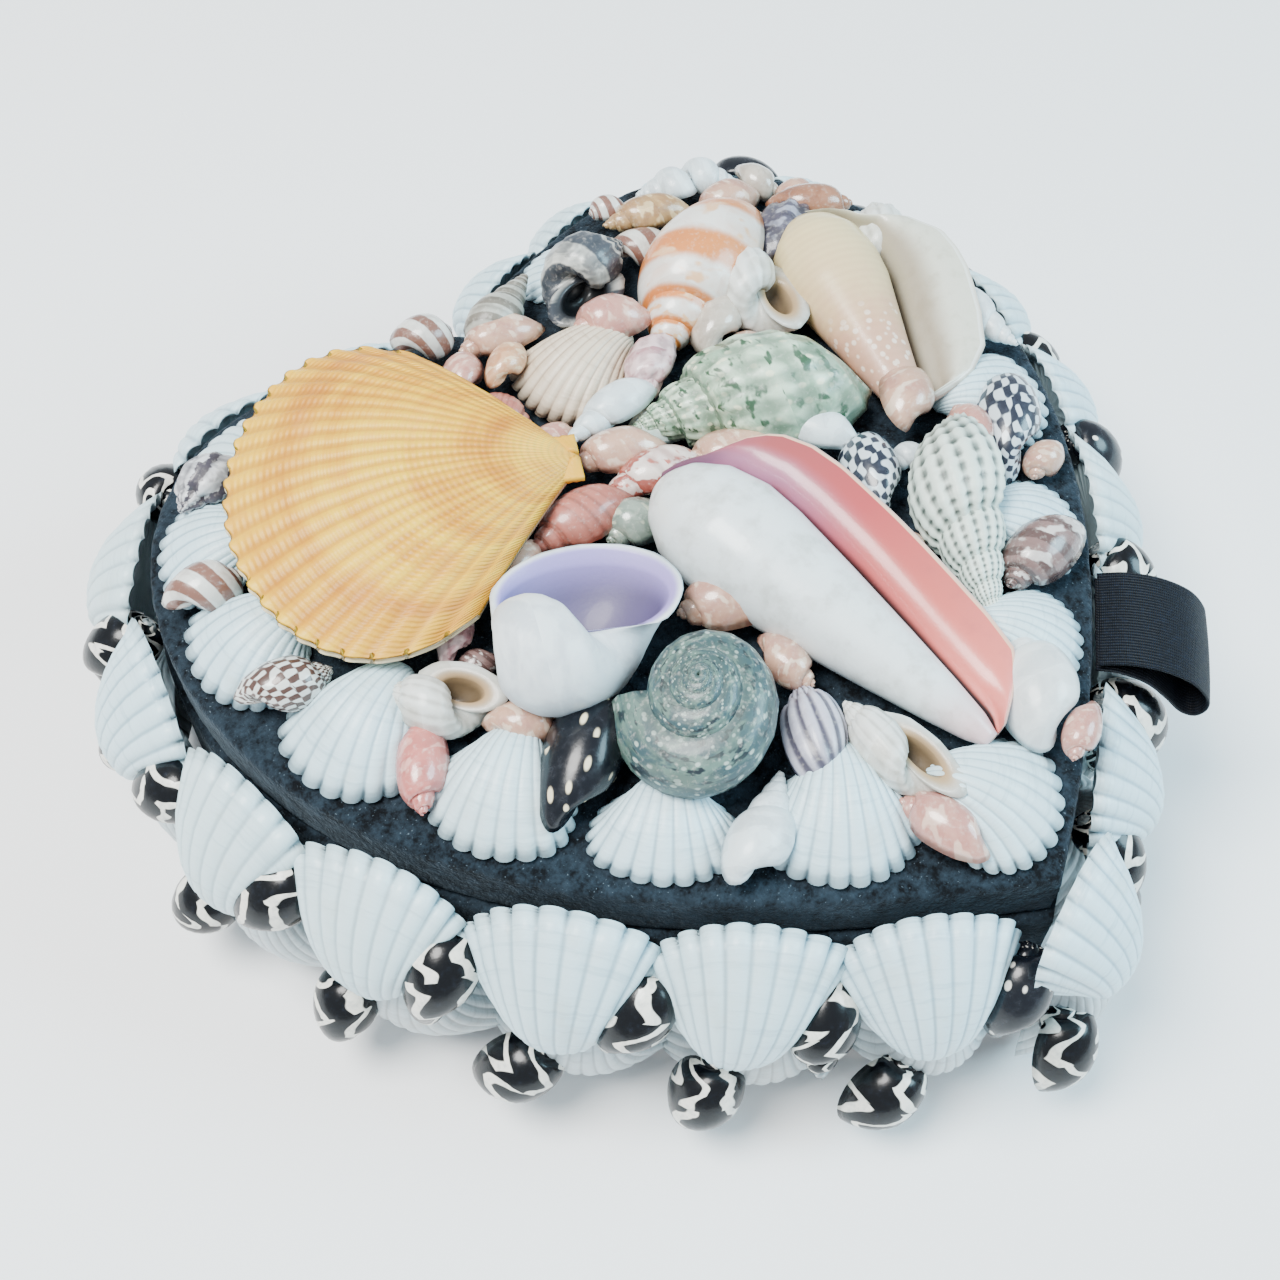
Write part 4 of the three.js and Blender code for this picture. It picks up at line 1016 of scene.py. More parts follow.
def mat_conch():
    n = Nodes("conch_shell")
    u, v, _ = n.uv("grow")
    g, inn, _ = n.uv("marks")
    grain = n.noise(230, 4, 0.6)
    fine = n.noise(1500, 3, 0.6)
    body = n.mix(n.step(grain, 0.45, 0.75), hexc("DCE6E8"), hexc("BFC6C4"))
    body = n.mix(n.math("MULTIPLY", n.step(u, 0.80, 1.0), 0.55), body, hexc("D98D8F"))
    red = n.ramp(u, [(0.0, hexc("9A5F74")), (0.14, hexc("A04A4C")), (0.42, hexc("B4484A")), (0.72, hexc("CE6158")), (0.92, hexc("E0756A")), (1.0, hexc("E88A80"))])
    red = n.mix(n.math("MULTIPLY", n.step(v, 2.35, 2.95), n.step(u, 0.55, 0.15)), red, hexc("A76A86"))
    red = n.mix(n.math("MULTIPLY", n.step(grain, 0.5, 0.8), 0.3), red, hexc("A9504E"))
    slit = hexc("2A2426")
    lip = n.step(v, 1.98, 2.02)
    col = n.mix(lip, body, red)
    col = n.mix(n.math("MULTIPLY", n.step(inn, 0.02, 0.12), n.step(inn, 0.3, 0.2)), col, hexc("E8B79A"))
    col = n.mix(n.step(inn, 0.64, 0.80), col, slit)
    h = n.math("ADD", n.math("MULTIPLY", grain, 0.5), n.math("MULTIPLY", fine, 0.3))
    return n.finish(col, n.math("ADD", 0.30, n.math("MULTIPLY", grain, 0.12)), n.bump(h, 0.0002, 0.5), Coat_Weight=0.35, Coat_Roughness=0.15)


P, g, m = conch(*lifted((0.4, 1.8), 9.4, (7.2, -58.6), 4.8),
                [0, 0.015, 0.05, 0.12, 0.22, 0.32, 0.5, 0.7, 0.85, 0.95, 1.0], [0.2, 3.0, 5.8, 8.4, 9.6, 9.2, 7.5, 5.4, 3.7, 2.4, 1.2],
                [0, 0.05, 0.09, 0.15, 0.3, 0.6, 0.8, 0.90, 0.95, 1.0], [0.05, 0.3, 4.6, 6.8, 7.6, 8.0, 8.2, 7.6, 4.2, 0.4], gap=1.1)
sk = Skin()
sk.grid(P, g, m)
sk.build("strawberry_conch_shell", mat_conch(), "strawberry_conch", "conch")

# purple-mouthed white snail, its mouth up and away
VIOLET = mat_snail("violet_mouth_shell", hexc("D8E2E6"), hexc("A9B3BC"), hexc("9D8FD0"), blotch=0.5, rough=0.5, coat=0.1, groove_shade=0.0)
P, g, m = snail_points(turns=3.0, W=3.3, R0=0.70, a=0.92, b=1.15, T=1.15, step=40, N=44, wall=0.09, cords=30, cord=0.012, seed=5, rough=0.03, depth=0.36)
P = fit(P, 27, 28, 19)
A, B = lifted((-38.2, -4.6), 10.0, (-16.9, -18.4), 10.0)
P = lay(P, A, B, face=(0.13, 0.16, 0.98), roll=0)
sk = Skin(); sk.grid(P, g, m, (0.3, 0.4))
sk.build("violet_snail_shell", VIOLET, "violet_snail", "violet_shell")

# mottled top shell with its spire up
TOP = mat_snail("top_shell_cover", hexc("2F4A50"), hexc("5F7A70"), hexc("B7BFBC"), flames=0, blotch=0.9, rough=0.42, coat=0.2, groove_shade=0.5, third=hexc("14222A"), fine_scale=2.6, spots=hexc("9DB0A8"))
P, g, m = snail_points(turns=4.6, W=1.75, R0=1.0, a=0.86, b=0.80, T=1.55, step=44, N=40, ribs=0, cords=16, cord=0.035, beads=16, bead=0.055, seed=3, rough=0.02)
P = fit(P, 17.4, 23.4, 23.4)
cen = np.array([-24.2, -31.2])
P = lay(P, [cen[0] - 2.4, cen[1], lid_z(*cen) + 18.4], [cen[0], cen[1] - 0.4, lid_z(*cen) + 1.2], face=(0.7, 0.7, 0), roll=0)
sk = Skin(); sk.grid(P, g, m, (0.5, 0.2))
sk.build("mottled_top_shell", TOP, "top_shell", "top_shell")

# black nerite with white dots
P, g, m = snail_points(turns=2.6, W=2.6, R0=0.66, a=0.68, b=1.2, T=1.3, step=30, N=34, canal=0.15, seed=2)
P = fit(P, 20, 11.4, 9.8)
A, B = lifted((-32.2, -19.4), 6.3, (-46.6, -31.2), 4.6)
P = lay(P, A, B, face=(0, 0, -1), roll=10)
sk = Skin(); sk.grid(P, g, m, (0.15, 0.2))
sk.build("black_dotted_snail", mat_dots("black_dotted_shell", hexc("0B0F16"), hexc("E4D9B8"), (22.0, 7.0), 0.20), "dotted_nerite", "black_nerite")

GREEN = mat_snail("green_turban_shell", hexc("C0D8BE"), hexc("7FA287"), hexc("DDE3DA"), flames=0, blotch=0.8, rough=0.36, coat=0.3, groove_shade=0.75, third=hexc("2F5238"), fine_scale=2.2, spots=hexc("E3ECCB"))
P, g, m = snail_points(turns=5.4, W=1.72, R0=0.92, a=0.92, b=1.12, T=2.5, step=56, N=48, cords=12, cord=0.05, beads=17, bead=0.13, canal=0.12, seed=8)
P = fit(P, 38, 20.5, 19)
A, B = lifted((2.6, 13.6), 5.0, (39.6, -1.6), 8.6)
P = lay(P, A, B, face=(0, 0, -1), roll=-20)
sk = Skin(); sk.grid(P, g, m, (0.6, 0.2))
sk.build("green_turban_snail", GREEN, "green_turban", "green_shell")

BANDED = mat_snail("orange_banded_shell", hexc("E3E1DA"), hexc("D07E40"), hexc("E8D6BE"), bands=5.0, blotch=0.35, rough=0.28, coat=0.45, groove_shade=0.1, soft=0.16, third=hexc("E2B48A"))
P, g, m = snail_points(turns=5.0, W=1.7, R0=0.9, a=0.92, b=1.35, T=2.7, step=34, N=36, canal=0.25, seed=9, rough=0.01)
P = fit(P, 34, 18.6, 17)
A, B = lifted((17.2, 23.4), 5.5, (46.2, 40.4), 8.6)
P = lay(P, A, B, face=(0, 0, -1), roll=15)
sk = Skin(); sk.grid(P, g, m, (0.35, 0.2))
sk.build("orange_banded_snail", BANDED, "banded_shell", "banded_shell")

def mat_tan_conch():
    n = Nodes("tan_conch_cover")
    u, v, _ = n.uv("grow")
    g, inn, _ = n.uv("marks")
    grain = n.noise(260, 4, 0.6)
    fine = n.noise(1500, 3, 0.6)
    body = n.ramp(n.math("ADD", u, n.math("MULTIPLY", n.math("SUBTRACT", grain, 0.5), 0.35)),
                  [(0.10, hexc("DCCB98")), (0.45, hexc("D6BD90")), (0.68, hexc("CBA084")), (0.9, hexc("C39A86"))])
    spots = n.step(n.voronoi(1.0, n.vec(n.math("MULTIPLY", u, 26.0), n.math("MULTIPLY", v, 15.0), 2.0)), 0.36, 0.22)
    body = n.mix(n.math("MULTIPLY", spots, n.math("MULTIPLY", n.step(u, 0.52, 0.66), 0.75)), body, hexc("F3E6D6"))
    lines = n.math("ADD", 0.5, n.math("MULTIPLY", n.math("SINE", n.math("MULTIPLY", u, TAU * 30.0)), 0.5))
    body = n.mix(n.math("MULTIPLY", lines, 0.12), body, hexc("A88968"))
    cream = n.mix(n.step(grain, 0.45, 0.75), hexc("CFCFC0"), hexc("B5B3A2"))
    # painted shade: the lip's inner face darkens towards the slit
    cream = n.mix(n.math("MULTIPLY", n.step(v, 2.45, 2.9), 0.75), cream, hexc("8F816C"))
    col = n.mix(n.step(v, 1.98, 2.02), body, cream)
    col = n.mix(n.math("MULTIPLY", n.step(inn, 0.02, 0.12), n.step(inn, 0.3, 0.2)), col, hexc("DFE3DC"))
    # painted shade: the slit itself is a dark brown
    col = n.mix(n.step(inn, 0.72, 0.95), col, hexc("4A4034"))
    h = n.math("ADD", n.math("MULTIPLY", grain, 0.5), n.math("MULTIPLY", fine, 0.3))
    return n.finish(col, n.math("ADD", 0.28, n.math("MULTIPLY", grain, 0.12)), n.bump(h, 0.0002, 0.5), Coat_Weight=0.4, Coat_Roughness=0.12)


P, g, m = conch(*lifted((58.4, 29.4), 6.4, (41.6, -10.6), 4.6),
                [0, 0.03, 0.08, 0.16, 0.28, 0.40, 0.55, 0.72, 0.86, 0.95, 1.0], [0.2, 3.4, 5.8, 7.8, 8.6, 8.2, 6.8, 5.2, 4.0, 3.0, 1.6],
                [0, 0.12, 0.18, 0.3, 0.5, 0.7, 0.84, 0.93, 1.0], [0.05, 1.0, 5.2, 8.2, 9.4, 9.2, 8.0, 5.0, 0.8], gap=2.2, shift=4.4, taper=2.2, tall=0.85, cup=1.2, slices=54)
sk = Skin(); sk.grid(P, g, m)
sk.build("tan_lipped_conch", mat_tan_conch(), "tan_conch", "tan_shell")

# ribbed cockle near the notch
hinge, rim = np.array([14.6, 31.2]), np.array([-4.6, 29.6])
h = float(np.hypot(*(rim - hinge))) * (1 + 0.72 * math.exp(-0.8 * 2.35))
sk = Skin()
add_cockle(sk, [hinge[0], hinge[1], lid_z(*hinge) + 1.4], [rim[0] - hinge[0], rim[1] - hinge[1], 0.6], [0, 0, 1], (0.6, 0.3),
           w=20, h=h, k=0.8, ribs=24, seed=401, rib=0.42, teeth=0.5, corner=0.05)
sk.build("beige_ribbed_cockle", BEIGE_RIB, "ribbed_cockle", "beige_shell")

CANC = mat_snail("cancellate_shell", hexc("D3E2D8"), hexc("66756E"), hexc("CFC9BA"), blotch=0.12, rough=0.5, coat=0.1, groove_shade=1.0)
P, g, m = snail_points(turns=6.0, W=1.5, R0=0.82, a=0.84, b=0.95, T=3.4, step=80, N=56, ribs=16, rib=0.13, cords=20, cord=0.075, canal=0.15, seed=12)
P = fit(P, 35, 15.6, 14.6)
A, B = lifted((20.6, -46.2), 4.6, (37.8, -15.6), 8.8)
P = lay(P, A, B, face=(0, 0, -1), roll=30)
sk = Skin(); sk.grid(P, g, m, (0.7, 0.2))
sk.build("cancellate_turret_shell", CANC, "cancellate_turret", "beige_shell")

NASSA_D = mat_snail("dark_nassa_cover", hexc("C9CBC4"), hexc("3A4048"), hexc("2A2E33"), bands=3, blotch=0.7, rough=0.35, coat=0.3, groove_shade=0.4)
P, g, m = snail_points(turns=4.0, W=1.85, R0=0.85, a=0.9, b=1.1, T=2.2, step=36, N=32, ribs=11, rib=0.15, cords=10, cord=0.05, lip=0.10, seed=13, wall=0.30, depth=0.2)
P = fit(P, 20.5, 15.5, 13)
A, B = lifted((27.6, 45.0), 5.6, (6.8, 42.6), 5.6)
P = lay(P, A, B, face=(-0.5, -0.5, 0.7), roll=-25)
sk = Skin(); sk.grid(P, g, m, (0.2, 0.2))
sk.build("dark_nassa_shell", NASSA_D, "dark_nassa", "grey_shell")

WHITE_S = mat_snail("white_snail_cover", hexc("DCE5E6"), hexc("B9C3C6"), hexc("E2DCD2"), blotch=0.5, rough=0.35, coat=0.3, groove_shade=0.12)
P, g, m = snail_points(turns=4.0, W=1.95, R0=0.85, a=0.9, b=1.15, T=2.0, step=34, N=32, seed=14, rough=0.012)
P = fit(P, 19.6, 12.6, 11)
A, B = lifted((20.6, -47.4), 3.6, (12.6, -65.6), 4.6)
P = lay(P, A, B, face=(0, 0, -1), roll=0)
sk = Skin(); sk.grid(P, g, m, (0.2, 0.2))
sk.build("white_smooth_snail", WHITE_S, "white_snail", "white_snail")

# ------------------------------------------------------------------ small shells that fill the lid
TAN = mat_snail("tan_small_shell", hexc("C49A82"), hexc("A8766A"), hexc("D8C4B4"), blotch=0.6, rough=0.28, coat=0.85, groove_shade=0.1, third=hexc("DCC2AC"))
PINKT = mat_snail("pink_tan_shell", hexc("C48F80"), hexc("B0736A"), hexc("E0C8BC"), blotch=0.6, rough=0.26, coat=0.85, groove_shade=0.1, third=hexc("DDB8A6"))
PINKR = mat_snail("pink_red_shell", hexc("C8756C"), hexc("A95450"), hexc("E0B8B0"), blotch=0.6, rough=0.3, coat=0.8, groove_shade=0.15, third=hexc("DA9E92"))
ORANGE = mat_snail("orange_tan_shell", hexc("CFA07A"), hexc("B4784E"), hexc("E3CBB0"), blotch=0.6, rough=0.28, coat=0.8, groove_shade=0.1, third=hexc("E2C49E"))
GOLD = mat_snail("brown_gold_shell", hexc("B08C5E"), hexc("8A6240"), hexc("D9C49E"), blotch=0.6, rough=0.35, coat=0.7, groove_shade=0.2, third=hexc("D8BC8C"))
BEIGE = mat_snail("beige_small_shell", hexc("BDB2A4"), hexc("9A8F84"), hexc("D9D2C6"), blotch=0.5, rough=0.22, coat=0.9, groove_shade=0.1)
ROUGHP = mat_snail("rough_pink_shell", hexc("D8BDBE"), hexc("8E4E5A"), hexc("B9808A"), blotch=0.75, rough=0.45, coat=0.5, groove_shade=0.45)
WHITES = mat_snail("white_spire_shell", hexc("D6E4E8"), hexc("AEB9BF"), hexc("E3DDD4"), blotch=0.45, rough=0.4, coat=0.3, groove_shade=0.15)
WNASSA = mat_snail("white_nassa_shell", hexc("D9DEDA"), hexc("B4B0A0"), hexc("A98F6C"), blotch=0.45, rough=0.42, coat=0.25, groove_shade=0.45)
GREENW = mat_snail("green_white_shell", hexc("CFE2DC"), hexc("98B4A6"), hexc("DDE3DA"), blotch=0.4, rough=0.4, coat=0.3, groove_shade=0.4)
GREENG = mat_snail("green_grey_shell", hexc("8E9F94"), hexc("5F7368"), hexc("B9C2BA"), blotch=0.7, rough=0.2, coat=0.9, groove_shade=0.2, third=hexc("B2BDA8"))
REDB = mat_snail("red_banded_shell", hexc("E0D2CA"), hexc("9C4F44"), hexc("D9B8A8"), flames=3.5, blotch=0.3, rough=0.3, coat=0.6, groove_shade=0.3, third=hexc("B5685A"))
REDR = mat_snail("red_ribbed_shell", hexc("B06A5C"), hexc("8C4A40"), hexc("D9B8A8"), blotch=0.4, rough=0.35, coat=0.5, groove_shade=0.45)
VIOLD = mat_snail("dark_violet_shell", hexc("4A4858"), hexc("23222E"), hexc("8A8696"), blotch=0.8, rough=0.45, coat=0.5, groove_shade=0.4, third=hexc("8F93A4"))
VIOLR = mat_snail("violet_ribbed_shell", hexc("B9BAC9"), hexc("6E6A80"), hexc("C9C4CE"), blotch=0.3, rough=0.35, coat=0.3, groove_shade=1.0)
BROWN = mat_snail("brown_smooth_shell", hexc("9A6A50"), hexc("7A4C38"), hexc("C9AE98"), blotch=0.6, rough=0.25, coat=0.8, groove_shade=0.1)
STRIPE = mat_snail("striped_small_shell", hexc("D5D6D0"), hexc("7A5548"), hexc("C9C2B8"), bands=6, blotch=0.25, rough=0.3, coat=0.5, groove_shade=0.1)
BLINE = mat_snail("brown_lined_shell", hexc("7E6460"), hexc("57423F"), hexc("B9A8A0"), bands=9, blotch=0.3, rough=0.25, coat=0.6, groove_shade=0.1, third=hexc("C9C2BE"))
GREYC = mat_snail("grey_cone_shell", hexc("A8A89E"), hexc("6F6A60"), hexc("BDB8AC"), bands=7, blotch=0.4, rough=0.45, coat=0.2, groove_shade=0.4)
NODULE = mat_snail("nodule_small_shell", hexc("C9CCD0"), hexc("3F3A44"), hexc("8A8490"), flames=6, blotch=0.6, rough=0.4, coat=0.3, groove_shade=0.6)


def mat_check(name, light, dark, around=9.0, growth=13.0):
    n = Nodes(name)
    u, v, _ = n.uv("grow")
    g, inn, _ = n.uv("marks")
    r, r2, _ = n.uv("tint")
    wob = n.noise(1.0, 2, 0.5, n.vec(n.math("MULTIPLY", u, 7.0), n.math("MULTIPLY", v, 7.0), n.math("MULTIPLY", r, 19.0)))
    a = n.math("SINE", n.math("ADD", n.math("MULTIPLY", u, TAU * growth), n.math("MULTIPLY", wob, 9.0)))
    b = n.math("SINE", n.math("ADD", n.math("MULTIPLY", v, TAU * around), n.math("MULTIPLY", wob, 6.0)))
    k = n.step(n.math("ADD", n.math("MULTIPLY", a, b), n.math("MULTIPLY", n.math("SUBTRACT", wob, 0.5), 1.2)), -0.12, 0.18)
    grain = n.noise(900, 3, 0.6)
    col = n.mix(k, n.mix(n.step(grain, 0.45, 0.8), dark, tuple(min(1, c * 1.8 + 0.01) for c in dark)), light)
    col = n.mix(n.step(inn, 0.3, 0.6), col, hexc("B9C0BE"))
    return n.finish(col, n.math("ADD", 0.22, n.math("MULTIPLY", grain, 0.15)), n.bump(grain, 0.0001, 0.4), Coat_Weight=0.5, Coat_Roughness=0.15)


CHECK = mat_check("checkered_nerite_shell", hexc("C4D2DA"), hexc("1B2230"))
BSPOT = mat_check("brown_checked_shell", hexc("CDD0CC"), hexc("4A332C"), 8.0, 15.0)
BLOB = dict(turns=2.8, W=2.3, R0=0.72, a=0.76, b=1.15, T=1.75, step=18, N=22, rough=0.07)
KINDS = {
    "tan": (BLOB, TAN, "tan_shell"), "pink": (BLOB, PINKT, "tan_shell"), "pinkred": (BLOB, PINKR, "tan_shell"),
    "orange": (BLOB, ORANGE, "tan_shell"), "beige": (BLOB, BEIGE, "beige_shell"), "brown": (BLOB, BROWN, "tan_shell"),
    "gold": (dict(turns=3.6, W=1.9, R0=0.8, a=0.82, b=1.3, T=2.4, step=22, N=22, rough=0.06), GOLD, "tan_shell"),
    "rough": (dict(turns=3.4, W=1.95, R0=0.8, a=0.84, b=1.15, T=2.1, step=30, N=26, ribs=9, rib=0.12, cords=8, cord=0.06, rough=0.10), ROUGHP, "tan_shell"),
    "whitespire": (dict(turns=5.0, W=1.62, R0=0.85, a=0.88, b=1.15, T=3.0, step=20, N=22, rough=0.02), WHITES, "white_snail"),
    "whitenassa": (dict(turns=4.2, W=1.85, R0=0.85, a=0.90, b=1.15, T=2.2, step=36, N=28, ribs=13, rib=0.13, cords=9, cord=0.04, lip=0.10, wall=0.42, depth=0.16), WNASSA, "white_snail"),
    "greenwhite": (dict(turns=3.6, W=1.9, R0=0.85, a=0.9, b=1.1, T=2.0, step=24, N=30, cords=13, cord=0.06), GREENW, "green_shell"),
    "greengrey": (BLOB, GREENG, "green_shell"),
    "redband": (dict(turns=4.4, W=1.75, R0=0.82, a=0.86, b=1.25, T=2.7, step=26, N=26, cords=11, cord=0.04, rough=0.02), REDB, "tan_shell"),
    "redrib": (dict(turns=3.6, W=1.9, R0=0.82, a=0.86, b=1.3, T=2.3, step=26, N=40, cords=18, cord=0.05), REDR, "tan_shell"),
    "darkviolet": (dict(turns=3.4, W=1.9, R0=0.8, a=0.85, b=1.2, T=2.1, step=26, N=26, ribs=7, rib=0.2, rough=0.12), VIOLD, "grey_shell"),
    "violetrib": (dict(turns=3.8, W=1.95, R0=0.85, a=0.9, b=1.2, T=2.0, step=56, N=26, ribs=13, rib=0.13), VIOLR, "grey_shell"),
    "stripe": (dict(turns=2.8, W=2.3, R0=0.72, a=0.76, b=1.0, T=1.4, step=20, N=24, rough=0.02), STRIPE, "grey_shell"),
    "brownline": (dict(turns=2.8, W=2.3, R0=0.72, a=0.76, b=1.0, T=1.4, step=20, N=24, rough=0.02), BLINE, "grey_shell"),
    "check": (dict(turns=2.9, W=2.3, R0=0.72, a=0.76, b=1.1, T=1.6, step=22, N=24), CHECK, "black_nerite"),
    "brownspot": (dict(turns=3.2, W=2.1, R0=0.8, a=0.84, b=1.05, T=1.7, step=30, N=26, cords=9, cord=0.05), BSPOT, "grey_shell"),
    "greycone": (dict(turns=5.0, W=1.5, R0=0.85, a=0.86, b=1.0, T=3.2, step=20, N=26, cords=10, cord=0.05), GREYC, "grey_shell"),
    "nodule": (dict(turns=3.8, W=1.85, R0=0.85, a=0.9, b=1.0, T=2.0, step=36, N=26, ribs=9, rib=0.2, cords=7, cord=0.08), NODULE, "grey_shell"),
}
# name, kind, spire end and mouth end in plan, breadth, height of the middle above the lid's edge, mouth or back up, roll
SMALL = [
    ("grey_cone", "greycone", (11.8, 52.6), (-1.7, 45.9), 7.2, 6.5, "back", 0),
    ("striped_nerite_01", "stripe", (-4.9, 51.2), (-13.9, 50.8), 7.4, 7, "back", 20),
    ("tan_01", "tan", (-6.9, 45.2), (6.0, 43.2), 6.1, 6, "back", 0),
    ("tan_02", "orange", (0.3, 40.9), (-6.7, 35.1), 5.4, 7.5, "back", 0),
    ("tan_03", "pink", (8.1, 34.7), (19.5, 31.9), 7.4, 9, "back", 0),
    ("gold_01", "gold", (29.2, 52.8), (42.6, 48.5), 6.1, 6, "back", 0),
    ("striped_nerite_02", "stripe", (29.7, 57.1), (35.4, 55.4), 4.5, 5.5, "back", 0),
    ("beige_01", "beige", (33.6, 29.7), (24.8, 19.0), 8.1, 7, "back", 0),
    ("rough_pink", "rough", (7.7, 16.7), (16.4, 25.3), 7.2, 9, "back", 20),
    ("white_turret_01", "whitespire", (-8.0, 17.4), (8.6, 19.2), 6.1, 9, "back", 0),
    ("green_white_01", "greenwhite", (1.3, 14.4), (12.4, 13.0), 6.5, 5, "back", 0),
    ("tan_04", "tan", (-8.6, 13.9), (4.0, 10.4), 6.7, 8, "back", 0),
    ("tan_05", "tan", (4.6, 4.2), (17.1, -2.3), 7.3, 7.5, "back", 10),
    ("red_banded", "redband", (-9.7, 6.8), (6.1, 4.5), 6.9, 7.5, "back", 0),
    ("red_ribbed", "redrib", (-22.8, 6.2), (-6.7, 6.3), 8.0, 7, "back", 0),
    ("green_round", "greengrey", (-12.7, 0.5), (-3.6, 1.6), 7.4, 6, "back", 0),
    ("white_spindle", "whitespire", (16.8, 3.2), (27.6, -8.1), 6.1, 8, "back", 0),
    ("violet_rough", "darkviolet", (57.6, 37.0), (44.8, 26.8), 8.8, 7, "back", 0),
    ("brown_01", "brown", (66.5, 30.8), (54.9, 37.5), 6.5, 6, "back", 0),
    ("white_nassa_01", "whitenassa", (67.9, 28.3), (60.0, 16.5), 8.8, 6, "back", 0),
    ("white_nassa_02", "whitenassa", (41.0, 31.1), (33.8, 15.2), 12.0, 8.5, "mouth", 10),
    ("pale_pointed", "whitespire", (63.5, -10.9), (62.6, 3.3), 6.5, 5.5, "back", 0),
    ("tan_06", "tan", (42.9, -2.8), (36.2, -13.3), 8.4, 8, "back", 30),
    ("tan_07", "pink", (44.1, -13.6), (40.4, -24.2), 7.1, 7, "back", 0),
    ("dotted_check_01", "check", (55.4, -12.0), (44.7, -27.8), 10.0, 5, "back", -20),
    ("check_01", "check", (27.8, -7.2), (23.4, -21.4), 8.2, 7, "back", 10),
    ("brown_striped_01", "brownline", (27.4, -43.1), (41.9, -39.6), 8.6, 5, "back", 0),
    ("tan_08", "pink", (12.3, -68.3), (19.9, -63.1), 4.7, 5, "back", 0),
    ("white_nassa_03", "whitenassa", (-5.6, -41.7), (-6.5, -60.5), 8.7, 6.5, "mouth", 0),
    ("violet_ribbed", "violetrib", (-9.0, -34.6), (-15.3, -48.3), 8.2, 6, "back", 0),
    ("tan_09", "tan", (-6.7, -36.9), (-8.8, -27.3), 5.9, 7, "back", 0),
    ("tan_10", "tan", (-14.7, -16.9), (-2.8, -21.1), 8.0, 8, "back", 0),
    ("pink_01", "pink", (-10.9, -56.6), (-6.3, -68.4), 6.6, 4.5, "back", 0),
    ("white_taper_01", "whitespire", (-19.4, -42.6), (-32.9, -51.8), 8.0, 4.5, "back", 0),
    ("tan_11", "tan", (-21.2, 8.7), (-30.1, 4.5), 5.3, 6.5, "back", 0),
    ("tan_12", "rough", (-36.6, 6.8), (-42.8, -1.0), 4.8, 6.5, "back", 0),
    ("white_nassa_04", "whitenassa", (-52.2, 1.3), (-44.1, -11.4), 9.9, 6.5, "mouth", 0),
    ("tan_13", "tan", (-36.7, -17.0), (-45.7, -13.4), 6.3, 6, "back", 0),
    ("pink_02", "pinkred", (-59.5, -17.2), (-52.3, -5.0), 6.5, 4.5, "back", 0),
    ("striped_nerite_03", "stripe", (-57.1, 33.1), (-67.6, 32.7), 7.8, 5.5, "back", 0),
    ("check_02", "brownspot", (-56.3, 10.1), (-68.7, 12.0), 7.8, 6, "back", 0),
    ("nodule_01", "nodule", (-57.7, 47.3), (-47.2, 51.6), 7.9, 5, "back", 0),
]


def small_shell(name, kind, a, b, width, z, mode, roll, seed):
    coil, material, slot_name = KINDS[kind]
    P, g, m = snail_points(seed=seed, **coil)
    A, B = np.array([a[0], a[1], LID_TOP + z]), np.array([b[0], b[1], LID_TOP + z])
    P = fit(P, float(np.linalg.norm(B - A)) * 1.12, width * 1.15, width)
    P = lay(P, A, B, face=(-0.2, -0.25, 0.9) if mode == "mouth" else (0, 0, -1), roll=roll)
    sk = Skin()
    sk.grid(P, g, m, ((seed * 0.37) % 1.0, (seed * 0.61) % 1.0))
    return sk.build(name, material, None, slot_name)


for q, spec in enumerate(SMALL):
    small_shell(*spec, seed=q + 30)

# ------------------------------------------------------------------ more small shells where the lid still shows
def plan_of(o):
    me = o.data
    co = np.zeros(len(me.vertices) * 3)
    me.vertices.foreach_get("co", co)
    return co.reshape(-1, 3) / MM


CELL = 0.8
GX, GY = np.arange(-76, 76, CELL), np.arange(-82, 66, CELL)
covered = np.zeros((len(GX), len(GY)), bool)


def cover(pts):
    pts = pts[pts[:, 2] > LID_TOP - 0.5]
    i, j = np.round((pts[:, 0] - GX[0]) / CELL).astype(int), np.round((pts[:, 1] - GY[0]) / CELL).astype(int)
    ok = (i > 0) & (i < len(GX) - 1) & (j > 0) & (j < len(GY) - 1)
    for di in (-1, 0, 1):
        for dj in (-1, 0, 1):
            covered[i[ok] + di, j[ok] + dj] = True


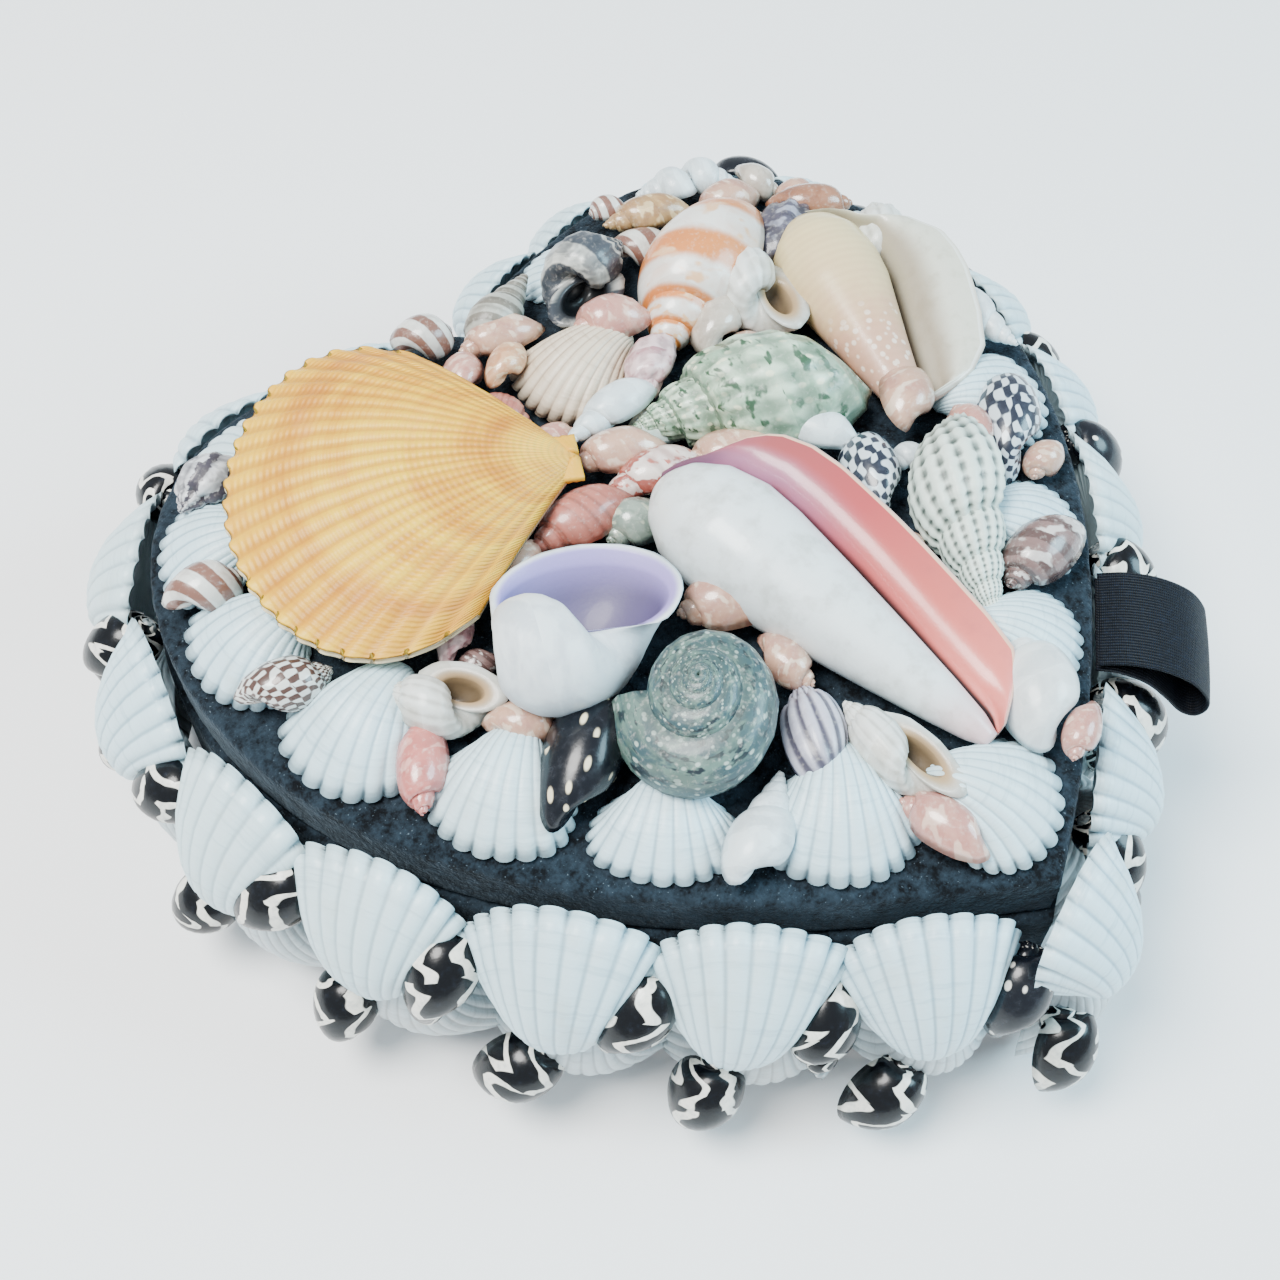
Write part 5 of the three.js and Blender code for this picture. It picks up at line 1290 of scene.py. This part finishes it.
for o in list(bpy.data.objects):
    if o.type == "MESH" and not o.name.startswith(("side_", "base_", "velvet_", "ribbon")) and "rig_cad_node" not in o and not o.hide_render:
        cover(plan_of(o))
edge_in = ring(-4.2, 360)
RE = np.hypot(edge_in[:, 1] - CY, edge_in[:, 0] - CX)
TE = np.arctan2(edge_in[:, 1] - CY, edge_in[:, 0] - CX)
order = np.argsort(TE)
XX, YY = np.meshgrid(GX, GY, indexing="ij")
inside = np.hypot(XX - CX, YY - CY) < np.interp(np.arctan2(YY - CY, XX - CX), TE[order], RE[order], period=TAU)
FILL_KINDS = ["tan", "whitespire", "pink", "tan", "beige", "whitenassa", "stripe", "tan", "greengrey", "gold", "check", "pink", "brownline", "redrib"]
rng = np.random.default_rng(23)
groups, count = {}, 0
while count < 90:
    free = inside & ~covered
    dist, cur = np.zeros(free.shape), free.copy()
    while cur.any():
        dist += cur
        nxt = cur.copy()
        nxt[1:] &= cur[:-1]; nxt[:-1] &= cur[1:]; nxt[:, 1:] &= cur[:, :-1]; nxt[:, :-1] &= cur[:, 1:]
        cur = nxt
    k = int(np.argmax(dist))
    i, j = divmod(k, len(GY))
    radius = dist[i, j] * CELL
    if radius < 1.3:
        break
    x, y = GX[i], GY[j]
    width = float(np.clip(radius * 1.7 + 2.2, 4.6, 8.0))
    long = width * rng.uniform(1.25, 1.6)
    best = None
    for ang in np.linspace(0, math.pi, 12, endpoint=False):
        c, s_ = math.cos(ang), math.sin(ang)
        tot = sum(free[min(max(int(round((x + c * q - GX[0]) / CELL)), 0), len(GX) - 1), min(max(int(round((y + s_ * q - GY[0]) / CELL)), 0), len(GY) - 1)]
                  for q in np.linspace(-long, long, 15))
        if best is None or tot > best[0]:
            best = (tot, c, s_)
    c, s_ = best[1:]
    if rng.random() < 0.5:
        c, s_ = -c, -s_
    kind = FILL_KINDS[int(rng.integers(len(FILL_KINDS)))]
    coil, material, slot_name = KINDS[kind]
    P, g, m = snail_points(seed=500 + count, **coil)
    zc = lid_z(x, y) + width * 0.44 + 0.6
    A, B = np.array([x - c * long / 2, y - s_ * long / 2, zc - 0.3]), np.array([x + c * long / 2, y + s_ * long / 2, zc + 0.5])
    P = lay(fit(P, long, width, width * 0.88), A, B, face=(0, 0, -1), roll=rng.uniform(-40, 40))
    groups.setdefault(kind, Skin()).grid(P, g, m, (rng.random(), rng.random()))
    cover(P.reshape(-1, 3))
    count += 1
for kind, sk in groups.items():
    sk.build("filler_" + kind, KINDS[kind][1], None, KINDS[kind][2])

# ------------------------------------------------------------------ floor and light
bpy.ops.mesh.primitive_grid_add(x_subdivisions=4, y_subdivisions=4, size=6)
floor = bpy.context.object
floor.name = "floor"
fm = Nodes("floor_paper")
floor.data.materials.append(fm.finish(fm.ramp(fm.noise(6, 3, 0.5), [(0.3, (0.91, 0.92, 0.925)), (0.7, (0.94, 0.945, 0.95))]), 0.85))

world = bpy.data.worlds.new("studio")
bpy.context.scene.world = world
world.use_nodes = True
world.node_tree.nodes["Background"].inputs[0].default_value = (0.86, 0.93, 1.0, 1)
world.node_tree.nodes["Background"].inputs[1].default_value = 0.80


def area(name, loc, target, size, energy, color):
    d = bpy.data.lights.new(name, "AREA")
    d.shape, d.size, d.energy, d.color = "DISK", size, energy, color
    o = bpy.data.objects.new(name, d)
    o.location = loc
    o.rotation_mode = "QUATERNION"
    o.rotation_quaternion = (Vector(target) - Vector(loc)).to_track_quat("-Z", "Y")
    bpy.context.scene.collection.objects.link(o)
    return o


area("key", (-0.30, 0.10, 0.75), (0, 0, 0.03), 0.40, 14.0, (1.0, 0.99, 0.96))
area("fill", (0.55, -0.50, 0.55), (0, 0, 0.03), 0.5, 12.0, (0.50, 0.84, 1.0))
